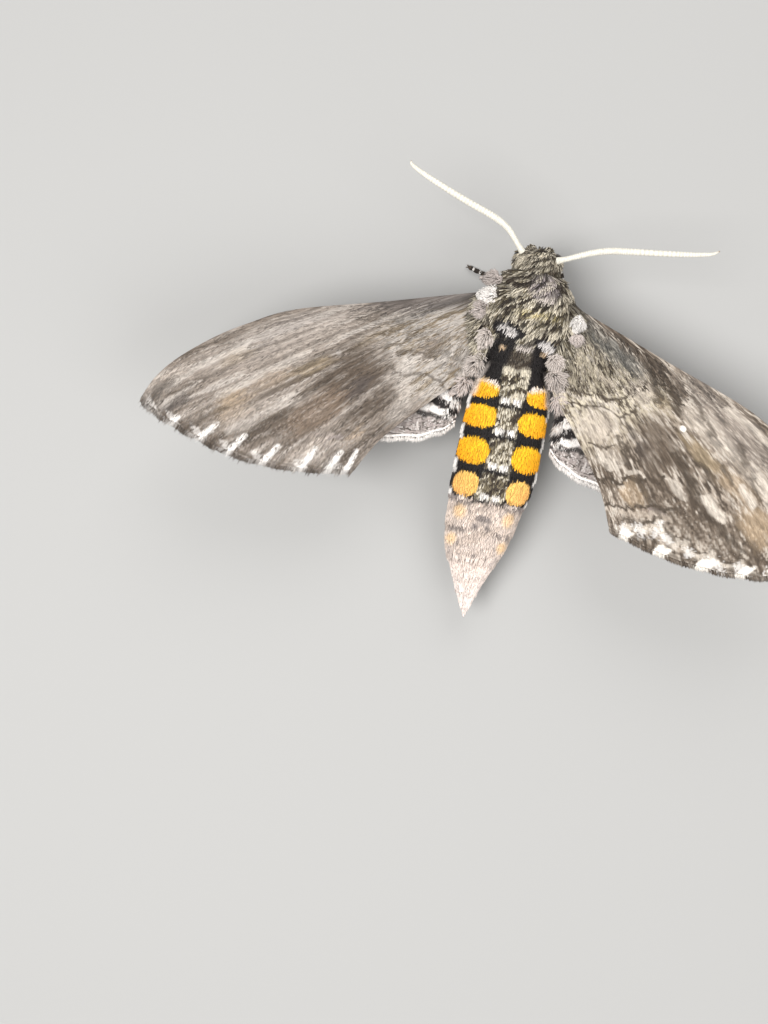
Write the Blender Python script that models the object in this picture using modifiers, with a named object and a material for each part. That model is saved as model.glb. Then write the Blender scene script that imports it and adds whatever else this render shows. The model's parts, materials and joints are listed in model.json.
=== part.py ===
"""A carolina sphinx moth, life size, perched with its wings held out to the sides.

The moth faces +Y, its right side is +X, and +Z is up. It stands on the floor at z = 0 on six tarsi.
Lengths are in millimetres until they reach Blender, which works in metres.
"""

import math

import bmesh
import bpy
from mathutils import Vector

MM = 0.001
COLLECTION = "carolina_sphinx_moth"
CUTTERS = "cutters"

# The gap that parted pieces keep from each other.
GAP = 0.3

# Body along its length: y, half width, top, underside. The head comes first.
HEAD_SECTIONS = (
    (10.5, 1.2, 11.6, 10.1),
    (10.2, 2.3, 12.4, 9.4),
    (9.7, 3.0, 13.1, 8.6),
    (8.7, 3.45, 13.9, 7.6),
    (7.6, 3.55, 14.3, 6.9),
    (6.7, 3.3, 14.3, 6.7),
)
THORAX_SECTIONS = (
    (6.45, 4.9, 14.9, 5.9),
    (5.7, 5.75, 15.4, 5.3),
    (4.6, 6.45, 15.9, 4.7),
    (2.2, 7.35, 16.5, 4.2),
    (-0.8, 7.3, 16.4, 4.2),
    (-3.6, 6.5, 15.3, 4.4),
    (-5.6, 5.6, 14.4, 4.7),
    (-7.0, 5.0, 13.9, 4.9),
)
ABDOMEN_SECTIONS = (
    (-7.0, 5.0, 13.6, 4.6),
    (-10.0, 5.9, 13.9, 3.9),
    (-13.0, 6.3, 14.0, 3.4),
    (-18.0, 6.45, 13.6, 3.0),
    (-25.0, 6.4, 12.6, 2.7),
    (-28.2, 5.9, 11.9, 2.8),
    (-31.4, 5.55, 11.0, 3.0),
    (-34.6, 4.9, 9.9, 3.4),
    (-37.9, 3.6, 8.6, 4.0),
    (-41.2, 2.3, 7.3, 4.4),
    (-43.6, 1.3, 6.4, 4.7),
    (-45.7, 0.5, 5.7, 4.8),
)
# How far the abdomen's middle lies to one side: y, then x.
ABDOMEN_BEND = ((-23.0, 0.0), (-30.0, -0.5), (-36.0, -0.85), (-41.0, -0.7), (-45.7, -0.3))
COLLAR_BACK = 4.6
WAIST = -7.0
SEGMENT_EDGES = (-9.1, -13.0, -17.6, -22.8, -27.5, -31.8, -36.2)
ABDOMEN_END = -45.7
BODY_SIDES = 26
BODY_SQUARENESS = 2.15
SEGMENT_BULGE = 0.018
THORAX_SIDES = 48
THORAX_ROWS = 17

# Eyes: where they sit, how far they reach each way, and the socket round each.
EYE_CENTRE = (2.55, 8.6, 9.7)
EYE_REACH = (1.25, 1.75, 1.85)

# Tegulae: the flaps over the wing roots, as angles from straight up and places along the body.
TEGULA_FRONT = 4.2
TEGULA_BACK = -4.6
TEGULA_INNER = 16.0
TEGULA_OUTER = 62.0
TEGULA_THICK = 0.9
TEGULA_PROUD = 0.1
TEGULA_CELLS = 8
# The dish under each tegula ends at this cover value and slopes up over this much of it.
DISH_EDGE = 1.5
DISH_SLOPE = 0.3

# Forewing outline in the wing's own plane: out from the root, then back from its line.
WING_ROOT = (7.6, 2.4, 12.2)
FOREWING_SWEEP = {-1: 27.7, 1: 33.0}
WING_RISE = 7.0
FORE_COSTA = ((0.0, -0.3), (12.5, -2.6), (26.0, -5.4), (33.3, -5.5), (38.8, -5.0), (44.7, -3.7),
              (48.8, -2.0), (52.0, 0.3))
FORE_OUTER = ((52.0, 0.3), (50.8, 2.9), (48.4, 5.8), (45.5, 8.9), (42.1, 12.0), (37.8, 14.9),
              (32.4, 17.5), (27.8, 19.0), (25.4, 19.8))
FORE_INNER = ((1.8, 7.2), (4.2, 10.6), (11.0, 13.0), (19.3, 16.1), (25.4, 19.8))
FORE_ROOT_Y = (2.9, -4.6)
FORE_VEINS = ((0.05, 0.0), (0.14, 0.1), (0.24, 0.3), (0.34, 0.42), (0.45, 0.4), (0.57, 0.42),
              (0.69, 0.35), (0.8, 0.25), (0.93, 0.0))

# Hindwing outline as places on the moth's right side: x, then y.
HIND_COSTA = ((7.4, -3.4), (16.0, -7.4), (24.0, -12.2), (29.0, -16.2), (31.3, -19.4))
HIND_OUTER = ((31.3, -19.4), (30.2, -21.8), (26.0, -23.0), (20.0, -23.0), (14.5, -22.4),
              (10.2, -20.9), (7.3, -18.6))
HIND_INNER = ((6.7, -6.6), (7.0, -10.0), (7.3, -14.0), (7.3, -18.6))
HIND_DROP = 1.9
# How far the rear edge of each hindwing is swung forward.
HIND_SWING = {-1: 1.6, 1: 0.0}
HIND_VEINS = ((0.06, 0.0), (0.2, 0.15), (0.36, 0.4), (0.5, 0.4), (0.64, 0.4), (0.78, 0.2), (0.92, 0.0))

WING_THICK = 0.5
VEIN_RISE = 0.28
VEIN_HALF_WIDTH = 0.014
ROOT_THICK = 0.75
SCALLOP = 0.18
FORE_SCALLOPS = 8
FORE_CAMBER = 0.9
FORE_ROWS = 13
HIND_SCALLOPS = 6
HIND_FOLDS = 5
HIND_FOLD_RISE = 0.35
HIND_RISE_SHARE = 0.9
HIND_ROWS = 9

# Feelers: the bends of each, and how thick it is along its length.
ANTENNA_BENDS = {
    -1: ((-2.6, 9.3, 13.15), (-3.4, 10.1, 13.4), (-5.2, 11.9, 13.8), (-7.5, 13.1, 14.1), (-12.5, 14.8, 14.6),
         (-17.6, 16.8, 15.0), (-20.1, 18.0, 15.1), (-20.6, 18.7, 15.0)),
    1: ((2.8, 8.75, 13.35), (4.0, 9.1, 13.55), (7.0, 10.3, 13.9), (9.6, 11.0, 14.2), (12.5, 11.3, 14.6),
        (18.8, 11.9, 15.1), (22.8, 12.5, 15.3), (24.2, 13.2, 15.2)),
}
ANTENNA_RADII = (0.5, 0.42, 0.5, 0.52, 0.5, 0.42, 0.3, 0.2)

# Mouth parts, on the right side.
PALP_BENDS = ((1.3, 7.9, 6.1), (1.4, 9.1, 6.0), (1.4, 10.1, 6.6), (1.35, 10.5, 7.8), (1.25, 10.6, 9.0))
PALP_RADII = (0.6, 0.85, 0.95, 0.85, 0.45)
COIL_CENTRE = (8.9, 4.5)
COIL_RADIUS = 1.5
COIL_PITCH = 0.82
COIL_TURNS = 1.6
COIL_TUBE = 0.23

# Legs of the right side: the femur's root, the knee, the ankle and the tip of the tarsus.
LEGS = {
    "fore": ((2.6, 5.0, 3.7), (7.1, 3.0, 4.8), (5.3, 6.8, 1.5), (2.7, 11.6, 0.3)),
    "mid": ((2.8, 1.7, 3.1), (8.6, 0.6, 5.8), (12.2, -2.4, 1.5), (18.6, -6.6, 0.3)),
    "hind": ((2.5, -1.9, 3.1), (8.2, -4.0, 5.4), (10.8, -9.6, 1.5), (13.6, -17.2, 0.3)),
}
# The left fore tarsus reaches out past the wing's front edge.
LEFT_FORE_ANKLE = (5.6, 6.7, 1.5)
LEFT_FORE_TIP = (10.6, 8.1, 0.3)
FEMUR_RADII = (0.65, 0.85, 0.75, 0.5)
TIBIA_RADII = (0.45, 0.62, 0.6, 0.5)
TARSUS_RADII = (0.42, 0.46)
TARSUS_PARTS = 5
TARSUS_LEVEL = 0.3
TARSUS_TAPER = 0.25
TARSUS_LANDING = 0.22
LEG_BOW = 0.15
# Spurs: where each pair leaves the tibia as a share of its length, then how long and thick a spur is.
SPURS = {"fore": (), "mid": (0.93,), "hind": (0.55, 0.93)}
SPUR_LENGTH = 1.5
SPUR_RADII = (0.3, 0.26, 0.14)
SPUR_SPREAD = 0.55

COLOURS = {
    "coat": (0.30, 0.27, 0.21), "abdomen": (0.45, 0.40, 0.33), "wing": (0.33, 0.28, 0.22),
    "hindwing": (0.55, 0.53, 0.50), "antenna": (0.80, 0.77, 0.68), "eye": (0.03, 0.025, 0.02),
    "leg": (0.22, 0.19, 0.16), "mouth": (0.24, 0.13, 0.06),
}


def smooth_at(points, place):
    """A smooth curve through points of equal length, read at a place from 0 to 1."""
    count = len(points) - 1
    along = min(max(place, 0.0), 1.0) * count
    i = min(int(along), count - 1)
    t = along - i
    p1 = Vector(points[i])
    p2 = Vector(points[i + 1])
    p0 = Vector(points[i - 1]) if i > 0 else 2 * p1 - p2
    p3 = Vector(points[i + 2]) if i + 2 <= count else 2 * p2 - p1
    return 0.5 * (2 * p1 + (p2 - p0) * t + (2 * p0 - 5 * p1 + 4 * p2 - p3) * t * t
                  + (3 * p1 - p0 - 3 * p2 + p3) * t ** 3)


def section_at(sections, y):
    """Half width, top and underside of the body at y, eased between the named sections."""
    for i in range(len(sections) - 1):
        if y >= sections[i + 1][0] - 1e-9:
            break
    ahead, behind = sections[i], sections[i + 1]
    t = (ahead[0] - y) / (ahead[0] - behind[0])
    flat = [Vector(s[1:]) for s in sections]
    place = (i + t) / (len(sections) - 1)
    return smooth_at(flat, place)


def body_point(section, y, angle, outward=0.0):
    """A point on the body's surface, at an angle from straight up towards +X."""
    half, top, under = section
    power = 2 / BODY_SQUARENESS
    c, s = math.cos(angle), math.sin(angle)
    centre = 0.5 * (top + under)
    x = (half + outward) * math.copysign(abs(s) ** power, s)
    z = centre + (0.5 * (top - under) + outward) * math.copysign(abs(c) ** power, c)
    return Vector((x, y, z))


def material_named(name):
    """A piece's own plain finish, in the colour of its kind."""
    found = bpy.data.materials.get(name)
    if found is None:
        found = bpy.data.materials.new(name)
        found.use_nodes = True
        shader = found.node_tree.nodes["Principled BSDF"]
        shader.inputs["Base Color"].default_value = (*COLOURS[name.split("_of_")[0]], 1.0)
        shader.inputs["Roughness"].default_value = 0.25 if name.startswith("eye") else 0.85
        shader.inputs["Metallic"].default_value = 0.0
    return found


def add_piece(name, mesh, finish, home, root):
    """A named object for one mesh, in metres, under the moth's root."""
    mesh.materials.clear()
    mesh.materials.append(material_named(f"{finish}_of_{name}"))
    mesh.shade_smooth()
    piece = bpy.data.objects.new(name, mesh)
    piece.parent = root
    home.objects.link(piece)
    return piece


def mesh_from(bm, name):
    """A mesh in metres from a cage in millimetres, with its faces pointing out."""
    bmesh.ops.recalc_face_normals(bm, faces=bm.faces)
    bmesh.ops.scale(bm, vec=(MM, MM, MM), verts=bm.verts)
    mesh = bpy.data.meshes.new(name)
    bm.to_mesh(mesh)
    bm.free()
    return mesh


def loft(name, rings):
    """A closed form through unlike rings of as many points each, flat at both ends."""
    bm = bmesh.new()
    rows = [[bm.verts.new(point) for point in ring] for ring in rings]
    for a, b in zip(rows, rows[1:]):
        for i in range(len(a)):
            j = (i + 1) % len(a)
            bm.faces.new((a[i], a[j], b[j], b[i]))
    bm.faces.new(rows[0])
    bm.faces.new(rows[-1])
    return mesh_from(bm, name)


def sway_at(y):
    """How far the body's middle lies to its right at y."""
    for (ahead, x0), (behind, x1) in zip(ABDOMEN_BEND, ABDOMEN_BEND[1:]):
        if ahead >= y >= behind:
            return x0 + (x1 - x0) * (ahead - y) / (ahead - behind)
    return 0.0


def body_rings(sections, front, back, count, bulge=0.0):
    """Rings of the body between two places along it."""
    rings = []
    for i in range(count + 1):
        share = i / count
        y = front + (back - front) * share
        half, top, under = section_at(sections, y)
        swell = 1 + bulge * math.sin(math.pi * share)
        centre = 0.5 * (top + under)
        reach = 0.5 * (top - under) * swell
        section = (half * swell, centre + reach, centre - reach)
        shift = Vector((sway_at(y), 0.0, 0.0))
        angles = [2 * math.pi * k / BODY_SIDES for k in range(BODY_SIDES)]
        rings.append([body_point(section, y, angle) + shift for angle in angles])
    return rings


def tube(name, bends, radii, steps, sides_level=2, floor=None):
    """A tapered tube along a smooth line, as a mesh with welded ends. A floor flattens what would sink in it."""
    curve = bpy.data.curves.new(name + "_line", "CURVE")
    curve.dimensions = "3D"
    curve.twist_mode = "Z_UP"
    curve.fill_mode = "FULL"
    curve.bevel_depth = MM
    curve.bevel_resolution = sides_level
    curve.use_fill_caps = True
    spline = curve.splines.new("POLY")
    spline.points.add(steps)
    thick = [(r, 0, 0) for r in radii]
    for i, point in enumerate(spline.points):
        place = smooth_at(bends, i / steps) * MM
        point.co = (*place, 1.0)
        point.radius = smooth_at(thick, i / steps)[0]
    guide = bpy.data.objects.new(name + "_line", curve)
    bpy.context.scene.collection.objects.link(guide)
    bpy.context.view_layer.update()
    mesh = bpy.data.meshes.new_from_object(guide.evaluated_get(bpy.context.evaluated_depsgraph_get()))
    bpy.data.objects.remove(guide)
    bm = bmesh.new()
    bm.from_mesh(mesh)
    bpy.data.meshes.remove(mesh)
    bmesh.ops.remove_doubles(bm, verts=bm.verts, dist=1e-6)
    bmesh.ops.scale(bm, vec=(1 / MM, 1 / MM, 1 / MM), verts=bm.verts)
    if floor is not None:
        for vert in bm.verts:
            vert.co.z = max(vert.co.z, floor)
    return mesh_from(bm, name)


def patch_point(costa, outer, inner, across, along):
    """A place on a wing between its edges: across from front to rear, and along from root to margin."""
    front = smooth_at(costa, along)
    rear = smooth_at(inner, along)
    ends = (1 - across) * Vector(costa[-1]) + across * Vector(outer[-1])
    bow = smooth_at(outer, across) - ends
    return (1 - across) * front + across * rear + bow * along ** 2


def wing_columns(veins):
    """Where the lines along the wing run: both edges, and three for each vein."""
    columns = [(0.0, None)]
    for vein in veins:
        columns.append((vein[0] - VEIN_HALF_WIDTH, None))
        columns.append((vein[0], vein[1]))
        columns.append((vein[0] + VEIN_HALF_WIDTH, None))
    columns.append((1.0, None))
    return columns


def wing_piece(name, veins, rows, place, finish, home, root):
    """A membrane of even thickness whose veins stand up from both faces. place gives each point."""
    columns = wing_columns(veins)
    bm = bmesh.new()
    bmesh.ops.create_grid(bm, x_segments=len(columns) - 1, y_segments=rows, size=0.5)
    bm.verts.ensure_lookup_table()
    weights = {}
    full = max(ROOT_THICK, WING_THICK + 2 * VEIN_RISE)
    for vert in bm.verts:
        column = round((vert.co.x + 0.5) * (len(columns) - 1))
        along = round((vert.co.y + 0.5) * rows) / rows
        across, start = columns[column]
        vert.co = place(across, along)
        thick = WING_THICK + (ROOT_THICK - WING_THICK) * max(0.0, 1 - along * 4)
        if start is not None and along > start:
            grown = min(1.0, (along - start) * 5) * min(1.0, (1.02 - along) * 6)
            thick = max(thick, WING_THICK + 2 * VEIN_RISE * grown)
        weights[vert.index] = thick / full
    bmesh.ops.triangulate(bm, faces=bm.faces)
    bmesh.ops.scale(bm, vec=(MM, MM, MM), verts=bm.verts)
    bmesh.ops.recalc_face_normals(bm, faces=bm.faces)
    bm.verts.ensure_lookup_table()
    if sum(face.normal.z for face in bm.faces) < 0:
        bmesh.ops.reverse_faces(bm, faces=bm.faces)
    mesh = bpy.data.meshes.new(name)
    bm.to_mesh(mesh)
    bm.free()
    piece = add_piece(name, mesh, finish, home, root)
    group = piece.vertex_groups.new(name="thick")
    for index, weight in weights.items():
        group.add([index], weight, "REPLACE")
    wall = piece.modifiers.new("wall", "SOLIDIFY")
    wall.thickness = full * MM
    wall.offset = 0.0
    wall.vertex_group = "thick"
    return piece


def forewing_place(side):
    """The function that puts a point of the forewing's outline on the moth."""
    sweep = math.radians(FOREWING_SWEEP[side])
    rise = math.tan(math.radians(WING_RISE))
    root = Vector(WING_ROOT)

    def place(across, along):
        out, back = patch_point(FORE_COSTA, FORE_OUTER, FORE_INNER, across, along)
        out -= math.cos(2 * math.pi * FORE_SCALLOPS * across) * SCALLOP * along ** 8
        x = root.x + out * math.cos(sweep) - back * math.sin(sweep)
        y = root.y - out * math.sin(sweep) - back * math.cos(sweep)
        join = max(0.0, 1 - along * 6) ** 2
        root_y = FORE_ROOT_Y[0] + (FORE_ROOT_Y[1] - FORE_ROOT_Y[0]) * across
        root_x = side_of_thorax(root_y, root.z - 0.5) + GAP
        x += (root_x - x) * join
        y += (root_y - y) * join
        camber = FORE_CAMBER * math.sin(math.pi * across) * along * (1 - 0.4 * along)
        z = root.z + (x - root.x) * rise + camber
        return Vector((side * x, y, z))

    return place


def hindwing_place(side):
    """The function that puts a point of the hindwing's outline on the moth, under the forewing."""
    rise = math.tan(math.radians(WING_RISE))

    def place(across, along):
        x, y = patch_point(HIND_COSTA, HIND_OUTER, HIND_INNER, across, along)
        y += math.cos(2 * math.pi * HIND_SCALLOPS * across) * SCALLOP * along ** 8
        y += HIND_SWING[side] * along ** 1.5
        z = WING_ROOT[2] - HIND_DROP + (x - WING_ROOT[0]) * rise * HIND_RISE_SHARE
        z += HIND_FOLD_RISE * math.sin(math.pi * HIND_FOLDS * across) * along
        return Vector((side * x, y, z))

    return place


def side_of_thorax(y, z):
    """How far out the thorax reaches at y and z."""
    half, top, under = section_at(THORAX_SECTIONS, y)
    height = min(0.99, abs(z - 0.5 * (top + under)) / (0.5 * (top - under)))
    return half * (1 - height ** BODY_SQUARENESS) ** (1 / BODY_SQUARENESS)


def tegula_cover(y, angle):
    """How far a place on the thorax is from a tegula's middle: 1 on its edge, less inside it."""
    middle = math.radians(0.5 * (TEGULA_INNER + TEGULA_OUTER))
    reach = math.radians(0.5 * (TEGULA_OUTER - TEGULA_INNER))
    across = (abs(angle) - middle) / reach
    length = (y - 0.5 * (TEGULA_FRONT + TEGULA_BACK)) / (0.5 * (TEGULA_FRONT - TEGULA_BACK))
    return across * across + length * length


def make_thorax(home, root):
    """The thorax behind the collar, dished where the tegulae lie."""
    front, back = COLLAR_BACK - GAP / 2, WAIST + GAP / 2
    rings = []
    for i in range(THORAX_ROWS + 1):
        y = front + (back - front) * i / THORAX_ROWS
        section = section_at(THORAX_SECTIONS, y)
        ring = []
        for k in range(THORAX_SIDES):
            angle = 2 * math.pi * k / THORAX_SIDES
            signed = angle if angle <= math.pi else angle - 2 * math.pi
            inset = 0.0
            cover = tegula_cover(y, signed)
            if cover < DISH_EDGE:
                inset = -(TEGULA_THICK + GAP) * min(1.0, (DISH_EDGE - cover) / DISH_SLOPE)
            ring.append(body_point(section, y, angle, inset))
        rings.append(ring)
    add_piece("thorax", loft("thorax", rings), "coat", home, root)


def make_tegula(side, home, root):
    """A rounded flap over the wing's root, flush with the thorax round it."""
    bm = bmesh.new()
    bmesh.ops.create_grid(bm, x_segments=TEGULA_CELLS, y_segments=TEGULA_CELLS, size=1.0)
    middle = math.radians(0.5 * (TEGULA_INNER + TEGULA_OUTER))
    reach = math.radians(0.5 * (TEGULA_OUTER - TEGULA_INNER))
    for vert in bm.verts:
        u, v = vert.co.x, vert.co.y
        round_u = u * math.sqrt(1 - v * v / 2)
        round_v = v * math.sqrt(1 - u * u / 2)
        angle = side * (middle + reach * round_u)
        y = 0.5 * (TEGULA_FRONT + TEGULA_BACK) + 0.5 * (TEGULA_FRONT - TEGULA_BACK) * round_v
        vert.co = body_point(section_at(THORAX_SECTIONS, y), y, angle, TEGULA_PROUD)
    bmesh.ops.triangulate(bm, faces=bm.faces)
    bmesh.ops.scale(bm, vec=(MM, MM, MM), verts=bm.verts)
    bmesh.ops.recalc_face_normals(bm, faces=bm.faces)
    if sum(face.normal.z for face in bm.faces) < 0:
        bmesh.ops.reverse_faces(bm, faces=bm.faces)
    name = f"tegula_{side_name(side)}"
    mesh = bpy.data.meshes.new(name)
    bm.to_mesh(mesh)
    bm.free()
    piece = add_piece(name, mesh, "coat", home, root)
    wall = piece.modifiers.new("wall", "SOLIDIFY")
    wall.thickness = TEGULA_THICK * MM
    wall.offset = -1.0


def side_name(side):
    """The word for a side of the moth."""
    return "right" if side > 0 else "left"


def sphere_piece(name, centre, reach, home, finish=None, root=None):
    """A ball stretched each way, as a piece or, with no finish, as a cutter."""
    bm = bmesh.new()
    bmesh.ops.create_uvsphere(bm, u_segments=18, v_segments=12, radius=1.0)
    bmesh.ops.scale(bm, vec=reach, verts=bm.verts)
    bmesh.ops.translate(bm, vec=centre, verts=bm.verts)
    mesh = mesh_from(bm, name)
    if finish:
        return add_piece(name, mesh, finish, home, root)
    piece = bpy.data.objects.new(name, mesh)
    piece.hide_render = True
    piece.display_type = "WIRE"
    home.objects.link(piece)
    return piece


def make_head(home, cutters, root):
    """The head with its two eyes set in sockets."""
    rings = body_rings(HEAD_SECTIONS, HEAD_SECTIONS[0][0], HEAD_SECTIONS[-1][0] + 0.05, 12)
    head = add_piece("head", loft("head", rings), "coat", home, root)
    for side in (-1, 1):
        centre = (side * EYE_CENTRE[0], EYE_CENTRE[1], EYE_CENTRE[2])
        word = side_name(side)
        sphere_piece(f"eye_{word}", centre, EYE_REACH, home, "eye", root)
        socket = sphere_piece(f"socket_{word}", centre, tuple(r + GAP for r in EYE_REACH), cutters)
        socket.parent = root
        cut = head.modifiers.new(f"socket_{word}", "BOOLEAN")
        cut.operation = "DIFFERENCE"
        cut.object = socket


def make_mouth(home, root):
    """A palp each side of the coiled tongue."""
    for side in (-1, 1):
        bends = [(side * x, y, z) for x, y, z in PALP_BENDS]
        name = f"palp_{side_name(side)}"
        add_piece(name, tube(name, bends, PALP_RADII, 12), "coat", home, root)
    steps = 40
    bends = []
    for i in range(steps + 1):
        turn = 2 * math.pi * COIL_TURNS * i / steps
        radius = COIL_RADIUS - COIL_PITCH * turn / (2 * math.pi)
        y = COIL_CENTRE[0] - radius * math.cos(turn)
        z = COIL_CENTRE[1] + radius * math.sin(turn)
        bends.append((0.0, y, z))
    bends.insert(0, (0.0, bends[0][1] - 0.02, 6.4))
    name = "proboscis"
    add_piece(name, tube(name, bends, (COIL_TUBE, COIL_TUBE), len(bends) - 1, 1), "mouth", home, root)


def make_body(home, root):
    """The collar and the lengths of the abdomen, parted by thin cuts."""
    rings = body_rings(THORAX_SECTIONS, THORAX_SECTIONS[0][0], COLLAR_BACK + GAP / 2, 5)
    add_piece("collar", loft("collar", rings), "coat", home, root)
    edges = (WAIST, *SEGMENT_EDGES, ABDOMEN_END)
    for i, (front, back) in enumerate(zip(edges, edges[1:]), 1):
        last = i == len(edges) - 1
        name = "abdomen_tip" if last else f"abdomen_{i}"
        end = back if last else back + GAP / 2
        rings = body_rings(ABDOMEN_SECTIONS, front - GAP / 2, end, 8 if last else 4,
                           0.0 if last else SEGMENT_BULGE)
        add_piece(name, loft(name, rings), "abdomen", home, root)


def make_antennae(home, root):
    """The two feelers."""
    for side in (-1, 1):
        name = f"antenna_{side_name(side)}"
        mesh = tube(name, ANTENNA_BENDS[side], ANTENNA_RADII, 28)
        add_piece(name, mesh, "antenna", home, root)


def towards(start, end, distance):
    """A point that far from start on the way to end."""
    start, end = Vector(start), Vector(end)
    return start + (end - start).normalized() * distance


def clear_start(before, joint, after, thick_before, thick_after):
    """How far past a joint the next length starts, so that its end clears the one before it."""
    back = (before - joint).normalized()
    ahead = (after - joint).normalized()
    bend = back.angle(ahead)
    if bend < math.pi / 2:
        return (thick_before + GAP + thick_after * math.cos(bend)) / math.sin(bend)
    return GAP + max(thick_before, thick_after) * math.tan((math.pi - bend) / 2)


def leg_joints(side, pair):
    """The femur's root, the knee, the ankle and the tarsus's tip of one leg."""
    joints = [Vector((side * x, y, z)) for x, y, z in LEGS[pair]]
    if side < 0 and pair == "fore":
        joints[2:] = [Vector((-x, y, z)) for x, y, z in (LEFT_FORE_ANKLE, LEFT_FORE_TIP)]
    return joints


def make_leg(side, pair, home, cutters, root):
    """A femur, a tibia with its spurs and a jointed tarsus that lies flat on the floor."""
    hip, knee, ankle, tip = leg_joints(side, pair)
    word = side_name(side)
    after_knee = clear_start(hip, knee, ankle, FEMUR_RADII[-1], TIBIA_RADII[0])
    lengths = {"femur": (hip, knee, FEMUR_RADII), "tibia": (towards(knee, ankle, after_knee), ankle, TIBIA_RADII)}
    for part, (start, end, radii) in lengths.items():
        name = f"{part}_{pair}_{word}"
        bends = [start.lerp(end, t / 3) for t in range(4)]
        bends[1].z += LEG_BOW
        bends[2].z += LEG_BOW
        piece = add_piece(name, tube(name, bends, radii, 8), "leg", home, root)
        if part == "tibia":
            add_spurs(piece, start, end, SPURS[pair], cutters, root)
    make_tarsus(f"tarsus_{pair}_{word}", knee, ankle, tip, home, root)


def add_spurs(tibia, start, end, shares, cutters, root):
    """A pair of spurs joined to the tibia at each share of its length, pointing down the leg and out."""
    ahead = (end - start).normalized()
    flat = ahead.cross(Vector((0, 0, 1))).normalized()
    for share in shares:
        foot = start.lerp(end, share)
        foot.z += LEG_BOW * math.sin(math.pi * share)
        for hand in (-1, 1):
            way = (ahead + flat * hand * SPUR_SPREAD).normalized()
            bends = [foot + way * SPUR_LENGTH * t / 2 for t in range(3)]
            name = f"{tibia.name}_spur_{round(share * 100)}_{'out' if hand > 0 else 'in'}"
            spur = bpy.data.objects.new(name, tube(name, bends, SPUR_RADII, 2, 1))
            spur.hide_render = True
            spur.display_type = "WIRE"
            spur.parent = root
            cutters.objects.link(spur)
            join = tibia.modifiers.new(name, "BOOLEAN")
            join.operation = "UNION"
            join.object = spur


def make_tarsus(name, knee, ankle, tip, home, root):
    """A foot of five swollen parts, from just past the ankle to its tip on the floor."""
    start = towards(ankle, tip, clear_start(knee, ankle, tip, TIBIA_RADII[-1], TARSUS_RADII[0]))
    landing = start.lerp(tip, TARSUS_LANDING)
    landing.z = TARSUS_LEVEL
    bends = [start, start.lerp(landing, 0.5), landing] + [landing.lerp(tip, t / 5) for t in range(1, 6)]
    steps = TARSUS_PARTS * 4
    radii = []
    for i in range(steps + 1):
        swell = TARSUS_RADII[1] if i % 4 in (2, 3) else TARSUS_RADII[0]
        radii.append(swell * (1 - TARSUS_TAPER * i / steps))
    radii[-1] *= 0.5
    add_piece(name, tube(name, bends, radii, steps, 1, floor=0.0), "leg", home, root)


def centre_on_floor(root, pieces):
    """Moves the moth so that its box is centred on the origin and stands on the floor."""
    bpy.context.view_layer.update()
    graph = bpy.context.evaluated_depsgraph_get()
    low = Vector((1e9, 1e9, 1e9))
    high = -low
    for piece in pieces:
        shown = piece.evaluated_get(graph)
        for corner in shown.bound_box:
            point = shown.matrix_world @ Vector(corner)
            low = Vector(map(min, low, point))
            high = Vector(map(max, high, point))
    root.location = (-0.5 * (low.x + high.x), -0.5 * (low.y + high.y), -low.z)


def main():
    """Builds every solid of the moth in an empty scene."""
    for obj in list(bpy.data.objects):
        bpy.data.objects.remove(obj)
    home = bpy.data.collections.new(COLLECTION)
    cutters = bpy.data.collections.new(CUTTERS)
    for collection in (home, cutters):
        bpy.context.scene.collection.children.link(collection)
    root = bpy.data.objects.new("moth", None)
    home.objects.link(root)
    make_head(home, cutters, root)
    make_mouth(home, root)
    make_antennae(home, root)
    make_body(home, root)
    make_thorax(home, root)
    for side in (-1, 1):
        word = side_name(side)
        make_tegula(side, home, root)
        wing_piece(f"forewing_{word}", FORE_VEINS, FORE_ROWS, forewing_place(side), "wing", home, root)
        wing_piece(f"hindwing_{word}", HIND_VEINS, HIND_ROWS, hindwing_place(side), "hindwing", home, root)
        for pair in LEGS:
            make_leg(side, pair, home, cutters, root)
    centre_on_floor(root, [piece for piece in home.objects if piece.type == "MESH"])


main()
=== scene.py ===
"""The looks of a life-size carolina sphinx moth, perched with its wings held out.

The moth faces +Y and its right side is +X. Its sizes below are in millimetres, measured from the point
on its midline between the thorax and the floor, and every mesh ends in the frame's metres.
"""

import json
import logging
import math
from dataclasses import dataclass, field, fields
from enum import Enum
from functools import cache
from typing import Callable

import bpy
import numpy as np
from mathutils import Matrix, Vector

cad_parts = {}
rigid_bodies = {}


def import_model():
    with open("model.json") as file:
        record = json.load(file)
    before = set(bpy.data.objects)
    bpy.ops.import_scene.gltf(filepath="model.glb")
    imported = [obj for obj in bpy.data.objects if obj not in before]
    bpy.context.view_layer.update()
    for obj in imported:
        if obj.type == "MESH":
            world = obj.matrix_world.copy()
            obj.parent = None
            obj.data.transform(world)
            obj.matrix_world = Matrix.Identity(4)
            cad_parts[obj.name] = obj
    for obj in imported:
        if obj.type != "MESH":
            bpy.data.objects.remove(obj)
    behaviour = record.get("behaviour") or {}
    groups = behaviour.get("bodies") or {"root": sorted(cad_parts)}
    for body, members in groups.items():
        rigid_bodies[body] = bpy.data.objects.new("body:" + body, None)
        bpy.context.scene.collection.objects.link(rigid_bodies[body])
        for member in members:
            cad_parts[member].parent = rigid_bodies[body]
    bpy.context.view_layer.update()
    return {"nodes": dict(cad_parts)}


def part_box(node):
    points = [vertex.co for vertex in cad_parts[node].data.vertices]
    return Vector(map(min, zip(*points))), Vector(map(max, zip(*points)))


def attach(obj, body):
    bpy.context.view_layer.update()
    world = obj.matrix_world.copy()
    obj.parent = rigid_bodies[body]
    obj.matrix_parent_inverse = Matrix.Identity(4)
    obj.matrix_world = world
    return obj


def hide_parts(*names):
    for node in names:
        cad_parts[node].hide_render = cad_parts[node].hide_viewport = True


Array = np.ndarray
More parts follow.
